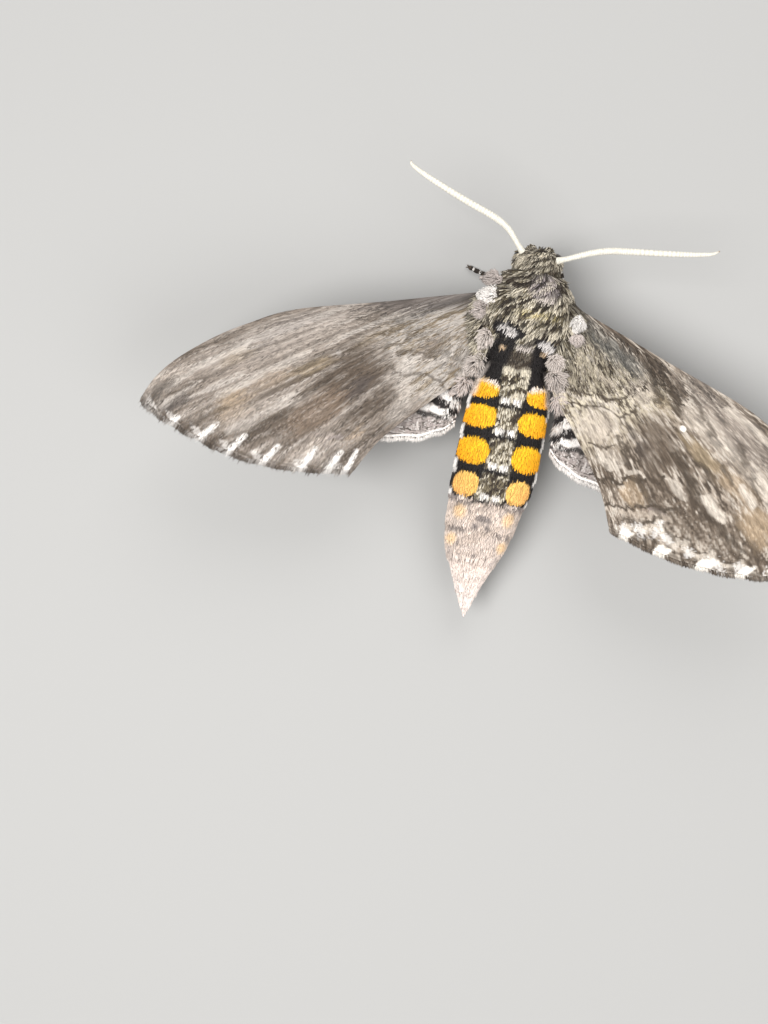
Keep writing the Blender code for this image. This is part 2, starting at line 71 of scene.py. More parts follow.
LOG = logging.getLogger("sphinx_moth")
MM = 0.001
TINT = "tint"
UP = np.array((0.0, 0.0, 1.0))
WAIST = -7.0
COLLAR_BACK = 4.6
SEGMENT_EDGES = (-7.0, -9.1, -13.0, -17.6, -22.8, -27.5, -31.8, -36.2)
TAIL = -45.5


class Side(Enum):
    """A side of the moth, as the sign of its x."""

    LEFT = -1
    RIGHT = 1

    @property
    def word(self) -> str:
        """The side's name in a node."""
        return self.name.lower()


def paint_of(red: int, green: int, blue: int) -> Array:
    """A colour as eyes name it, from 0 to 255, turned into light.

    Args:
        red, green, blue: The colour's three parts.

    Returns:
        The three parts as light, from 0 to 1.
    """
    parts = np.array((red, green, blue), float) / 255
    return np.where(parts <= 0.04045, parts / 12.92, ((parts + 0.055) / 1.055) ** 2.4)


@dataclass(frozen=True)
class Paints:
    """The moth's named colours: given as eyes name them, from 0 to 255, and kept as light."""

    orange: tuple = (252, 194, 34)
    amber: tuple = (242, 158, 14)
    peach: tuple = (240, 204, 158)
    cream: tuple = (203, 193, 174)
    olive: tuple = (111, 101, 81)
    umber: tuple = (62, 52, 42)
    black: tuple = (24, 19, 18)
    white: tuple = (240, 234, 228)
    beige: tuple = (214, 196, 182)
    pale: tuple = (236, 222, 214)
    smoke: tuple = (136, 126, 122)
    mauve: tuple = (146, 136, 138)
    slate: tuple = (106, 106, 104)
    blue_grey: tuple = (196, 190, 186)
    fawn: tuple = (128, 115, 103)
    brown: tuple = (112, 94, 78)
    tan: tuple = (196, 170, 140)
    blush: tuple = (228, 216, 207)
    bark: tuple = (78, 66, 55)
    dusk: tuple = (70, 64, 63)
    silver: tuple = (134, 126, 121)
    pearl: tuple = (166, 154, 143)
    ivory: tuple = (192, 183, 174)
    straw: tuple = (138, 122, 99)
    sand: tuple = (150, 131, 109)
    wheat: tuple = (198, 182, 132)
    feeler: tuple = (214, 210, 200)
    feeler_ring: tuple = (190, 180, 150)
    feeler_below: tuple = (150, 122, 92)
    feeler_tip: tuple = (120, 96, 70)
    eye_brown: tuple = (40, 27, 19)
    eye_dark: tuple = (20, 15, 13)
    tongue: tuple = (98, 52, 27)

    def __post_init__(self) -> None:
        """Turns each colour into light."""
        for colour in fields(self):
            object.__setattr__(self, colour.name, paint_of(*getattr(self, colour.name)))


PAINT = Paints()


def smooth(points: Array, place: Array) -> Array:
    """A smooth curve through points, read at places from 0 to 1.

    Args:
        points: One point a row.
        place: Where to read, one value a result.

    Returns:
        One point a row.
    """
    points = np.asarray(points, float)
    count = len(points) - 1
    along = np.clip(place, 0.0, 1.0) * count
    i = np.minimum(along.astype(int), count - 1)
    t = (along - i)[:, None]
    padded = np.vstack([2 * points[:1] - points[1:2], points, 2 * points[-1:] - points[-2:-1]])
    p0, p1, p2, p3 = padded[i], padded[i + 1], padded[i + 2], padded[i + 3]
    return 0.5 * (2 * p1 + (p2 - p0) * t + (2 * p0 - 5 * p1 + 4 * p2 - p3) * t * t
                  + (3 * p1 - p0 - 3 * p2 + p3) * t ** 3)


def noise(x: Array, y: Array, seed: float) -> Array:
    """Smooth noise from 0 to 1 whose bumps are one unit apart.

    Args:
        x, y: Where to read it.
        seed: A number that picks the pattern.

    Returns:
        One value for each place.
    """
    xi, yi = np.floor(x), np.floor(y)
    fx, fy = x - xi, y - yi
    fx, fy = fx * fx * (3 - 2 * fx), fy * fy * (3 - 2 * fy)

    def corner(dx: int, dy: int) -> Array:
        """The lattice value at one corner of each cell."""
        value = np.sin((xi + dx) * 127.1 + (yi + dy) * 311.7 + seed * 74.7) * 43758.5453
        return value - np.floor(value)

    low = corner(0, 0) * (1 - fx) + corner(1, 0) * fx
    high = corner(0, 1) * (1 - fx) + corner(1, 1) * fx
    return low * (1 - fy) + high * fy


def rise(x: Array, low: float, high: float) -> Array:
    """An eased step from 0 at low to 1 at high."""
    t = np.clip((x - low) / (high - low), 0.0, 1.0)
    return t * t * (3 - 2 * t)


def stripe(x: Array, centre: Array | float, half: Array | float, soft: float) -> Array:
    """1 within half of centre, eased to 0 over soft."""
    return 1 - rise(np.abs(x - centre) - half, -soft, soft)


def over(under: Array, colour: Array, mask: Array) -> Array:
    """One colour laid over others through a mask."""
    return under + (colour - under) * np.clip(mask, 0.0, 1.0)[:, None]


def layered(found: Array, *layers: tuple) -> Array:
    """Colours laid over others in order, each given as the colour and its mask."""
    for colour, mask in layers:
        found = over(found, colour, mask)
    return found


def blend(low: Array, high: Array, share: Array) -> Array:
    """Colours between two, one a row."""
    return low + (high - low) * share[:, None]


def unit(ways: Array) -> Array:
    """Directions made one long, one a row."""
    return ways / (np.linalg.norm(ways, axis=1, keepdims=True) + 1e-12)


def read(things: bpy.types.bpy_prop_collection, name: str, width: int, kind: type = np.float32) -> Array:
    """One row of values for each vertex, corner or other thing of a mesh.

    Args:
        things: The vertices, corners or others.
        name: What is read from each.
        width: How many values that has.
        kind: The type of the values.

    Returns:
        One row a thing.
    """
    flat = np.empty(len(things) * width, kind)
    things.foreach_get(name, flat)
    return flat.reshape(-1, width)


def dice_at(x: Array, y: Array, seed: float) -> Array:
    """Three smooth values from 0 to 1 for each place, which vary its streaks."""
    return np.stack([noise(x + k, y, seed + k) for k in range(3)], axis=1)


@dataclass
class Standpoint:
    """Where the moth's own measures lie in the frame."""

    shift: Array = field(default_factory=lambda: np.zeros(3))
    half_gap: float = 0.15

    def find(self) -> None:
        """Reads the moth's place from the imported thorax, whose rear face lies just before the waist."""
        low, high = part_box("thorax")
        self.shift = np.array((0.5 * (low.x + high.x) / MM, low.y / MM - (WAIST + self.half_gap), 0.0))

    def world(self, points: Array) -> Array:
        """The frame's metres for the moth's own millimetres."""
        return (np.asarray(points, float) + self.shift) * MM

    def own(self, points: Array) -> Array:
        """The moth's own millimetres for the frame's metres."""
        return points / MM - self.shift

    def vector(self, x: float, y: float, z: float) -> Vector:
        """One place in the frame's metres."""
        return Vector(self.world(np.array((x, y, z))))


STAND = Standpoint()


def shaped_grid(name: str, columns: int, rows: int, place: Callable, closed: bool = True) -> bpy.types.Object:
    """A grid laid over a surface, with its seam and poles closed.

    Args:
        name: The piece's name.
        columns, rows: How many cells the grid has each way.
        place: Takes arrays of u and v from 0 to 1 and gives points in the moth's millimetres.
        closed: Whether the seam and poles are merged and the faces turned outwards.

    Returns:
        The piece, at the origin.
    """
    bpy.ops.object.select_all(action="DESELECT")
    bpy.ops.mesh.primitive_grid_add(x_subdivisions=columns, y_subdivisions=rows, size=1.0)
    piece = bpy.context.object
    mesh = piece.data
    piece.name = mesh.name = name
    flat = read(mesh.vertices, "co", 3).astype(float)
    points = STAND.world(place(flat[:, 0] + 0.5, flat[:, 1] + 0.5))
    mesh.vertices.foreach_set("co", points.astype(np.float32).ravel())
    mesh.update()
    if closed:
        bpy.ops.object.mode_set(mode="EDIT")
        bpy.ops.mesh.select_all(action="SELECT")
        bpy.ops.mesh.remove_doubles(threshold=2e-6)
        bpy.ops.mesh.normals_make_consistent(inside=False)
        bpy.ops.object.mode_set(mode="OBJECT")
    bpy.ops.object.shade_smooth()
    return piece


def places_on(piece: bpy.types.Object) -> tuple[Array, Array]:
    """The u and v of each vertex, read back from the grid's own map.

    Args:
        piece: A piece that shaped_grid() made.

    Returns:
        The u and the v.
    """
    mesh = piece.data
    found = np.zeros((len(mesh.vertices), 2))
    found[read(mesh.loops, "vertex_index", 1, np.int32)[:, 0]] = read(mesh.uv_layers[0].uv, "vector", 2)
    return found[:, 0], found[:, 1]


def normals_of(piece: bpy.types.Object) -> Array:
    """The direction in which each vertex faces."""
    return read(piece.data.vertex_normals, "vector", 3).astype(float)


def set_tint(mesh: bpy.types.Mesh, colours: Array) -> None:
    """Stores a colour for each vertex, or one for all.

    Args:
        mesh: The mesh.
        colours: The colours, one a row, or the one.
    """
    full = np.ones((len(mesh.vertices), 4), np.float32)
    full[:, :3] = np.clip(colours, 0.0, 1.0)
    mesh.attributes.new(TINT, "FLOAT_COLOR", "POINT").data.foreach_set("color", full.ravel())


def add_node(tree: bpy.types.NodeTree, kind: str, values: tuple = (), wires: tuple = (),
             **settings: object) -> bpy.types.Node:
    """A new node of a tree.

    Args:
        tree: The tree.
        kind: The node's type.
        values: Pairs of a socket and its value.
        wires: Pairs of a socket and the output that feeds it.
        settings: The node's own settings.

    Returns:
        The node.
    """
    made = tree.nodes.new(kind)
    for name, value in settings.items():
        setattr(made, name, value)
    for socket, value in values:
        made.inputs[socket].default_value = value
    for socket, wire in wires:
        tree.links.new(wire, made.inputs[socket])
    return made


@cache
def scale_group() -> bpy.types.NodeTree:
    """A group of nodes that draws fine overlapping scales, as a shade and a height."""
    group = bpy.data.node_groups.new("fine_scales", "ShaderNodeTree")
    for name, kind, way in (("Vector", "Vector", "INPUT"), ("Scale", "Float", "INPUT"),
                            ("Depth", "Float", "INPUT"), ("Shade", "Float", "OUTPUT"),
                            ("Height", "Float", "OUTPUT")):
        group.interface.new_socket(name, in_out=way, socket_type=f"NodeSocket{kind}")
    source = group.nodes.new("NodeGroupInput").outputs
    fed = (("Vector", source["Vector"]), ("Scale", source["Scale"]))
    cells = add_node(group, "ShaderNodeTexVoronoi", wires=fed, feature="F1").outputs
    grain = add_node(group, "ShaderNodeTexNoise", (("Detail", 3.0),), fed).outputs
    tone = add_node(group, "ShaderNodeSeparateColor", wires=(("Color", cells["Color"]),)).outputs
    mix = {"operation": "MULTIPLY_ADD"}
    base = add_node(group, "ShaderNodeMath", ((1, -0.5), (2, 1.0)), ((0, source["Depth"]),), **mix).outputs
    shade = add_node(group, "ShaderNodeMath", (),
                     ((0, tone["Red"]), (1, source["Depth"]), (2, base[0])), **mix)
    height = add_node(group, "ShaderNodeMath", ((1, -1.0),),
                      ((0, cells["Distance"]), (2, grain["Fac"])), **mix)
    add_node(group, "NodeGroupOutput", wires=(("Shade", shade.outputs[0]), ("Height", height.outputs[0])))
    return group


@dataclass(frozen=True)
class Finish:
    """A finish whose colour is the piece's own tint, broken up by fine scales.

    Its name, how matt it is, how fine its scales are, how much they vary in shade, how far they stand up in
    metres, how they are drawn out each way, whether they follow the piece's own map, and the strength of its
    velvet edge, its gloss and its varnish.
    """

    name: str
    roughness: float
    scale: float
    depth: float
    bump: float
    stretch: tuple = (1, 1, 1)
    by_map: bool = False
    sheen: float = 0.0
    specular: float = 0.3
    varnish: float = 0.0

    @cache
    def material(self) -> bpy.types.Material:
        """The finish as a material, made when it is first asked for."""
        material = bpy.data.materials.new(self.name)
        material.use_nodes = True
        tree = material.node_tree
        shader = tree.nodes["Principled BSDF"].inputs
        for socket, value in (("Roughness", self.roughness), ("Specular IOR Level", self.specular),
                              ("Sheen Weight", self.sheen), ("Sheen Roughness", 0.5),
                              ("Coat Weight", self.varnish)):
            shader[socket].default_value = value
        tint = add_node(tree, "ShaderNodeAttribute", attribute_name=TINT).outputs["Color"]
        where = tree.nodes.new("ShaderNodeTexCoord").outputs["UV" if self.by_map else "Object"]
        turned = add_node(tree, "ShaderNodeMapping", (("Scale", self.stretch),),
                          (("Vector", where),)).outputs[0]
        scales = add_node(tree, "ShaderNodeGroup", (("Scale", self.scale), ("Depth", self.depth)),
                          (("Vector", turned),), node_tree=scale_group()).outputs
        shade = add_node(tree, "ShaderNodeVectorMath", (), ((0, tint), (1, scales["Shade"])),
                         operation="MULTIPLY")
        lift = add_node(tree, "ShaderNodeBump", (("Distance", self.bump),), (("Height", scales["Height"]),))
        tree.links.new(shade.outputs["Vector"], shader["Base Color"])
        tree.links.new(lift.outputs["Normal"], shader["Normal"])
        return material


HAIR_SCALES = Finish("hair_scales", 0.62, 4200, 0.35, 0.00001, (1, 0.25, 1), sheen=0.06, specular=0.24)
BODY_PILE = Finish("body_pile", 0.85, 3600, 0.5, 0.00008, (1, 0.3, 1))
WING_SCALES = Finish("wing_scales", 0.7, 1.0, 0.4, 0.00004, (190, 48, 1), by_map=True, sheen=0.08)
LEG_SCALES = Finish("leg_scales", 0.6, 5200, 0.5, 0.00004)
FEELER_SCALES = Finish("feeler_scales", 0.7, 6000, 0.25, 0.00002)
FACETED_EYE = Finish("faceted_eye", 0.3, 9000, 0.4, 0.00001, varnish=0.35)
TONGUE_HORN = Finish("tongue_horn", 0.35, 5000, 0.4, 0.00002, specular=0.5)


def finish_piece(piece: bpy.types.Object, finish: Finish, slot: str, *nodes: str) -> None:
    """Gives a piece its finish, its body and the nodes that it stands for.

    Args:
        piece: The piece.
        finish: Its finish.
        slot: The record's material slot; not used.
        nodes: The solids that it replaces.
    """
    piece.data.materials.clear()
    piece.data.materials.append(finish.material())
    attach(piece, "root")
    if nodes:
        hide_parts(*nodes)
    LOG.info("%s: %d faces", piece.name, len(piece.data.polygons))


@dataclass
class Locks:
    """Tapered locks of scales or hair: roots, directions and sizes, one row each."""

    roots: Array
    normals: Array
    lies: Array
    lengths: Array
    widths: Array
    lifts: Array
    colours: Array
    maps: Array
    spans: int = 2
    # Painted light and shade along each lock: painted shade at the root and on its two sides, painted light
    # at the tip.
    root_shade: float = 0.55
    tip_shade: float = 1.08
    thick: float = 0.34
    patch: float = 0.0015
    shoulder: float = 0.78
    shoulder_breadth: float = 0.68
    sunk: float = 0.072
    side_shade: float = 0.92

    def stations(self) -> list[tuple[float, float]]:
        """Where each lock has a ring, as a share of its length, and how broad it is there."""
        if self.spans == 2:
            return [(0.0, 0.7), (0.42, 1.0), (self.shoulder, self.shoulder_breadth)]
        return [(0.0, 0.75), (0.5, 1.0)]

    def faces(self) -> list[tuple]:
        """The corners of one lock's faces: its root, the sides between its rings and its tip."""
        last = 3 * (len(self.stations()) - 1)
        found = [(0, 1, 2)]
        for a in range(0, last, 3):
            found += [(a, a + 3, a + 4, a + 1), (a + 1, a + 4, a + 5, a + 2), (a + 2, a + 5, a + 3, a)]
        tip = last + 3
        return found + [(last, tip, last + 1), (last + 1, tip, last + 2), (last + 2, tip, last)]

    def along(self, share: float) -> Array:
        """The middle of each lock at a share of its length.

        Args:
            share: The share, from 0 at the root to 1 at the tip.

        Returns:
            One point a row.
        """
        flat, up, length = np.cos(self.lifts)[:, None], np.sin(self.lifts)[:, None], self.lengths[:, None]
        reach = length * (self.lies * flat * share + self.normals * up * share * (1.25 - 0.6 * share))
        return self.roots + reach - self.sunk * length * self.normals * (1 - share)

    def join(self, name: str) -> bpy.types.Object:
        """Builds every lock into one mesh.

        Args:
            name: The piece's name.

        Returns:
            The piece, whose map OFBake holds one small patch for each lock.
        """
        count = len(self.roots)
        across = unit(np.cross(self.lies, self.normals))
        rows, shades, offsets = [], [], []
        for share, breadth in self.stations():
            middle, wide = self.along(share), self.widths[:, None] * breadth
            rows += [middle - across * 0.5 * wide, middle + across * 0.5 * wide,
                     middle + self.normals * self.thick * wide]
            # Painted shade at the root and on the two sides of each ring, painted light towards the tip.
            shade = self.root_shade + (self.tip_shade - self.root_shade) * share
            shades += [shade * self.side_shade, shade * self.side_shade, shade]
            offsets += [(-1, share), (1, share), (0, share)]
        rows.append(self.along(1.0))
        shades.append(self.tip_shade)
        offsets.append((0, 1.0))
        faces = self.faces()
        loops = (np.concatenate(faces)[None, :] + len(rows) * np.arange(count)[:, None]).ravel()
        totals = np.tile([len(face) for face in faces], count)
        mesh = bpy.data.meshes.new(name)
        mesh.vertices.add(len(rows) * count)
        points = STAND.world(np.stack(rows, axis=1).reshape(-1, 3))
        mesh.vertices.foreach_set("co", points.astype(np.float32).ravel())
        mesh.loops.add(len(loops))
        mesh.loops.foreach_set("vertex_index", loops.astype(np.int32))
        mesh.polygons.add(len(totals))
        mesh.polygons.foreach_set("loop_start", (np.cumsum(totals) - totals).astype(np.int32))
        mesh.update(calc_edges=True)
        set_tint(mesh, (self.colours[:, None, :] * np.array(shades)[None, :, None]).reshape(-1, 3))
        maps = (self.maps[:, None, :] + np.array(offsets)[None, :, :] * self.patch).reshape(-1, 2)[loops]
        mesh.uv_layers.new(name="OFBake").uv.foreach_set("vector", maps.astype(np.float32).ravel())
        mesh.validate()
        piece = bpy.data.objects.new(name, mesh)
        bpy.context.scene.collection.objects.link(piece)
        return piece


@dataclass
class BodyShape:
    """The skin of head, thorax and abdomen as one form: y, half width, top, underside."""

    sections: tuple = (
        (10.3, 0.15, 11.2, 10.9), (10.1, 1.7, 12.1, 9.8), (9.6, 2.6, 12.8, 8.95), (8.7, 3.15, 13.5, 7.95),
        (7.6, 3.25, 13.9, 7.25), (6.8, 3.2, 13.95, 6.95), (6.1, 4.3, 14.3, 6.3), (4.6, 5.7, 15.2, 5.4),
        (2.2, 6.6, 15.8, 4.9), (-0.8, 6.6, 15.7, 4.9), (-3.6, 5.9, 14.7, 5.0), (-5.6, 5.1, 13.8, 5.2),
        (-7.0, 4.7, 13.3, 5.0), (-10.0, 5.6, 13.6, 4.25), (-13.0, 6.0, 13.65, 3.75),
        (-18.0, 6.15, 13.25, 3.35), (-25.0, 6.1, 12.3, 3.05), (-28.2, 5.6, 11.6, 3.15),
        (-31.4, 5.2, 10.7, 3.3), (-34.6, 4.6, 9.6, 3.7), (-37.9, 3.3, 8.35, 4.2), (-41.2, 2.0, 7.05, 4.65),
        (-43.6, 1.05, 6.2, 4.9), (TAIL, 0.25, 5.5, 5.0),
    )
    squareness: float = 2.15
    segment_flare: float = 0.14
    tegula_front: float = 4.2
    tegula_back: float = -4.6
    tegula_inner: float = 16.0
    tegula_outer: float = 62.0
    tegula_swell: float = 0.45
    bend: tuple = ((-23.0, 0.0), (-30.0, -0.5), (-36.0, -0.85), (-41.0, -0.7), (-45.7, -0.3))

    def sway(self, y: Array) -> Array:
        """How far the middle of the body lies to its left at each y."""
        bends = np.array(self.bend)
        return np.interp(-y, -bends[:, 0], bends[:, 1])

    def section(self, y: Array) -> Array:
        """Half width, top and underside at each y.

        Args:
            y: Places along the body.

        Returns:
            One row of the three a place.
        """
        table = np.array(self.sections)
        place = np.interp(-y, -table[:, 0], np.linspace(0, 1, len(table)))
        return smooth(table[:, 1:], place)

    def tegula_cover(self, y: Array, angle: Array) -> Array:
        """Below 1 where a tegula lies, rising away from it.

        Args:
            y: Places along the body.
            angle: Angles from straight up.

        Returns:
            One value a place.
        """
        middle = math.radians(0.5 * (self.tegula_inner + self.tegula_outer))
        reach = math.radians(0.5 * (self.tegula_outer - self.tegula_inner))
        front, back = self.tegula_front, self.tegula_back
        length = (y - 0.5 * (front + back)) / (0.5 * (front - back))
        return ((np.abs(angle) - middle) / reach) ** 2 + length ** 2

    def relief(self, y: Array, angle: Array) -> Array:
        """How far the skin stands out: the flare of each abdominal ring and the two tegulae.

        Args:
            y: Places along the body.
            angle: Angles from straight up.

        Returns:
            Millimetres, one value a place.
        """
        edges = np.array(SEGMENT_EDGES)
        index = np.clip(np.searchsorted(-edges, -y) - 1, 0, len(edges) - 2)
        share = np.clip((edges[index] - y) / (edges[index] - edges[index + 1]), 0, 1)
        flare = self.segment_flare * (share ** 1.5 - 0.3) * (y < WAIST) * (y > edges[-1])
        tegula = self.tegula_swell * (1 - rise(self.tegula_cover(y, angle), 0.75, 1.1))
        return flare + tegula

    def point(self, y: Array, angle: Array, outward: float = 0.0) -> Array:
        """Points of the skin at places along it and angles from straight up towards +X.

        Args:
            y: Places along the body.
            angle: Angles from straight up.
            outward: How far outside the skin they are.

        Returns:
            One point a row.
        """
        half, top, under = self.section(y).T
        power = 2 / self.squareness
        c, s = np.cos(angle), np.sin(angle)
        out = outward + self.relief(y, angle) * np.minimum(1.0, half)
        x = self.sway(y) + (half + out) * np.sign(s) * np.abs(s) ** power
        z = 0.5 * (top + under) + (0.5 * (top - under) + out) * np.sign(c) * np.abs(c) ** power
        return np.stack([x, y, z], axis=1)

    def axes(self, y: Array, angle: Array) -> tuple[Array, Array, Array]:
        """Points of the skin with the way out of it and the way back along it.

        Args:
            y: Places along the body.
            angle: Angles from straight up.

        Returns:
            Points, unit normals and unit directions towards the tail.
        """
        step, turn = 0.05, 0.02
        here = self.point(y, angle)
        back = self.point(y - step, angle) - self.point(y + step, angle)
        normal = unit(np.cross(back, self.point(y, angle + turn) - self.point(y, angle - turn)))
        half, top, under = self.section(y).T
        outward = here - np.stack([self.sway(y), y, 0.5 * (top + under)], axis=1)
        flip = np.sign((normal * outward).sum(axis=1, keepdims=True))
        return here, normal * np.where(flip == 0, 1, flip), unit(back)

    def map_of(self, y: Array, angle: Array) -> Array:
        """Each place's spot on the skin unrolled flat."""
        front = self.sections[0][0]
        return np.stack([0.02 + 0.96 * (angle / (2 * math.pi) % 1.0),
                         0.02 + 0.96 * (front - y) / (front - TAIL)], axis=1)


COAT_PAINTS = (PAINT.cream, PAINT.olive, PAINT.umber)


@dataclass
class BodyMarkings:
    """The colours of the body, the same for its skin and its coat."""

    spots: tuple = ((-10.9, 4.25, 2.3, 1.5), (-15.0, 4.05, 2.5, 1.75), (-20.2, 4.05, 2.4, 2.0),
                    (-25.3, 3.95, 1.85, 1.85))
    faint_spots: tuple = ((-29.6, 3.7, 1.0, 1.2), (-34.1, 3.9, 0.8, 1.0))
    head_bars: tuple = ((6.1, 0.22, "umber", 0.75), (7.1, 0.2, "umber", 0.85), (7.62, 0.16, "cream", 0.8),
                        (8.15, 0.16, "umber", 0.5), (8.6, 0.2, "cream", 0.6))
    thorax_turn: float = 0.14
    abdomen_turn: float = 0.05

    def colours(self, y: Array, angle: Array, dice: Array) -> Array:
        """The body's colour at each place.

        Args:
            y: Places along the body.
            angle: Angles from straight up, from -pi to pi.
            dice: Three values from 0 to 1 for each place, which vary the streaks.

        Returns:
            One colour a row.
        """
        back = rise(-y, 2.0, 8.0)
        angle = angle - self.thorax_turn * (1 - back) - self.abdomen_turn * back
        turned = np.abs(angle)
        x = BODY.point(y, angle)[:, 0] - BODY.sway(y)
        dice = self.comb(y, x, dice)
        where = (y, turned, np.abs(x), x, dice)
        found = over(self.abdomen(*where), self.thorax(*where), rise(y, WAIST - 0.1, WAIST + 0.2))
        return over(found, self.head(*where), rise(y, 6.3, 6.7))

    def comb(self, y: Array, x: Array, dice: Array) -> Array:
        """Dice whose first value keeps alike along slanting lines, so that streaks() draws ripples.

        Args:
            y: Places along the body.
            x: How far to the right of the body's middle each place is.
            dice: Three values from 0 to 1 for each place.

        Returns:
            The dice.
        """
        bent = y - 0.7 * x + 0.7 * (noise(x * 0.5, y * 0.5, 19.0) - 0.5)
        flow = 0.7 * noise(x * 0.6 + 2, bent * 2.7, 16.0) + 0.3 * noise(x * 1.2, bent * 5.0, 19.5)
        first = np.clip(0.5 + 2.0 * (flow - 0.5) + 0.5 * (dice[:, 0] - 0.5), 0.0, 0.999)
        return np.column_stack([first, dice[:, 1:]])

    def streaks(self, dice: Array, shares: tuple, colours: tuple = COAT_PAINTS) -> Array:
        """Places shared out among colours by the first die.

        Args:
            dice: Values from 0 to 1 for each place, of which the first picks its colour.
            shares: How much of the whole each colour has.
            colours: The colours.

        Returns:
            One colour a row.
        """
        edges = np.cumsum(shares) / sum(shares)
        index = np.minimum(np.searchsorted(edges, dice[:, 0]), len(colours) - 1)
        return np.array(colours)[index] * (0.82 + 0.36 * dice[:, 1:2])

    def dashes(self, y: Array, turned: Array, x: Array) -> Array:
        """Short ripples from 0 to 1: across the head and the middle of the thorax, and along the tegulae.

        Args:
            y: Places along the body.
            turned: Angles from straight up, without their sign.
            x: How far to the right of the body's middle each place is.

        Returns:
            One value a place.
        """
        bent = y - 0.6 * x + 0.8 * (noise(x * 0.6, y * 0.6, 11.0) - 0.5)
        crossing = 0.65 * noise(x * 0.62 + 4, bent * 2.1, 12.0) + 0.35 * noise(x * 1.3, bent * 3.9, 13.0)
        flowing = 0.6 * noise(turned * 9.5, y * 0.75, 14.0) + 0.4 * noise(turned * 21, y * 1.5, 15.0)
        aside = 0.6 * rise(turned, 0.42, 0.75) * (1 - rise(y, 5.4, 6.6))
        return crossing + (flowing - crossing) * aside

    def ripple(self, found: Array, dash: Array, strength: float) -> Array:
        """Painted light on the crests of the ripples and painted shade in the hollows between them."""
        return layered(found, (found * 0.5 + PAINT.cream * 0.55, strength * rise(dash, 0.53, 0.64)),
                       (PAINT.umber * 0.6, 1.15 * strength * rise(1 - dash, 0.52, 0.64)))

    def head(self, y: Array, turned: Array, out: Array, x: Array,
             dice: Array) -> Array:
        """Olive and cream with dark bars across the nape, pale below.

        Args:
            y: Places along the body.
            turned: Angles from straight up, without their sign.
            out: How far out from the body's middle each place is.
            x: How far to the right of the body's middle each place is.
            dice: Three values from 0 to 1 for each place.

        Returns:
            One colour a row.
        """
        # The ripples paint light on their crests and shade in their hollows.
        found = self.ripple(0.8 * self.streaks(dice, (2.4, 4, 3.2)), self.dashes(y, turned, x), 0.72)
        bent = y - 0.45 * x
        for place, half, paint, strength in self.head_bars:
            bar = strength * stripe(bent, place, half, 0.14) * (turned < 1.3)
            found = over(found, getattr(PAINT, paint), bar)
        pale = stripe(out, 2.5, 0.5, 0.25) * stripe(y, 8.1, 0.5, 0.2) * (turned < 1.5)
        return layered(found, (PAINT.cream * 1.1, 0.7 * pale), (PAINT.smoke * 1.2, rise(turned, 1.7, 2.3)))

    def thorax(self, y: Array, turned: Array, out: Array, x: Array,
               dice: Array) -> Array:
        """Streaked cream, olive and dark brown, with the marks before the waist.

        Args:
            y: Places along the body.
            turned: Angles from straight up, without their sign.
            out: How far out from the body's middle each place is.
            x: How far to the right of the body's middle each place is.
            dice: Three values from 0 to 1 for each place.

        Returns:
            One colour a row.
        """
        vary, chance = dice[:, 1:2], dice[:, 2]
        middle = 1 - rise(np.hypot((x - 0.9) / 2.5, (y - 3.9) / 2.3), 0.75, 1.1)
        gold = stripe(x, 0.3, 2.9, 0.7) * stripe(y, 0.3, 0.55, 0.4) * (chance < 0.75)
        found = layered(0.9 * self.streaks(dice, (4, 4, 1.8)),
                        (PAINT.mauve * (0.7 + 0.6 * vary), 0.75 * middle),
                        (PAINT.wheat * (0.8 + 0.3 * vary), 0.7 * gold))
        cover = BODY.tegula_cover(y, turned)
        oval = np.hypot((out - 3.0) / 1.45, (y + 0.22 * x + 3.1) / 0.7)
        return layered(
            # Painted light on the ripples' crests and painted shade in their hollows.
            self.ripple(found, self.dashes(y, turned, x), 0.8),
            (PAINT.blush, 0.75 * stripe(x, 1.6, 1.3, 0.4) * stripe(y, 2.4, 0.35, 0.25) * (chance < 0.65)),
            (PAINT.umber * 0.8, 0.8 * stripe(y - 0.25 * x, COLLAR_BACK + 1.2, 0.3, 0.2) * (turned < 1.3)),
            (PAINT.cream * 1.05, 0.6 * stripe(y, -2.3, 0.6, 0.4) * (out < 2.4) * (chance < 0.7)),
            (PAINT.umber * 0.8, 0.85 * stripe(cover, 1.05, 0.12, 0.1) * (chance < 0.8)),
            (PAINT.cream * 1.05, 0.55 * stripe(cover, 0.78, 0.1, 0.1) * (chance < 0.75)),
            (PAINT.black, stripe(out, 3.1, 1.75, 0.25) * stripe(y, -5.6, 1.5, 0.2) * (turned < 1.25)),
            (PAINT.black, stripe(out, 2.9, 1.4, 0.2) * stripe(y, -4.2, 0.8, 0.15)),
            (PAINT.black, 1 - rise(oval, 1.4, 1.55)),
            (PAINT.blue_grey * (0.92 + 0.2 * vary), 1 - rise(oval, 0.92, 1.08)),
            (PAINT.tan, stripe(out, 3.0, 0.45, 0.2) * stripe(y, -4.75, 0.28, 0.15)),
            (PAINT.blush * 0.8, 0.8 * stripe(out, 0, 1.2, 0.4) * stripe(y, -4.5, 0.35, 0.2)),
            (PAINT.umber, 0.85 * stripe(out, 0, 1.6, 0.5) * stripe(y, -6.1, 1.0, 0.4)),
            (PAINT.blush, 0.85 * stripe(out, 5.2, 0.5, 0.3) * stripe(y, -4.8, 1.3, 0.4)),
            (PAINT.blush * (0.75 + 0.3 * vary), rise(turned, 1.75, 2.2)))

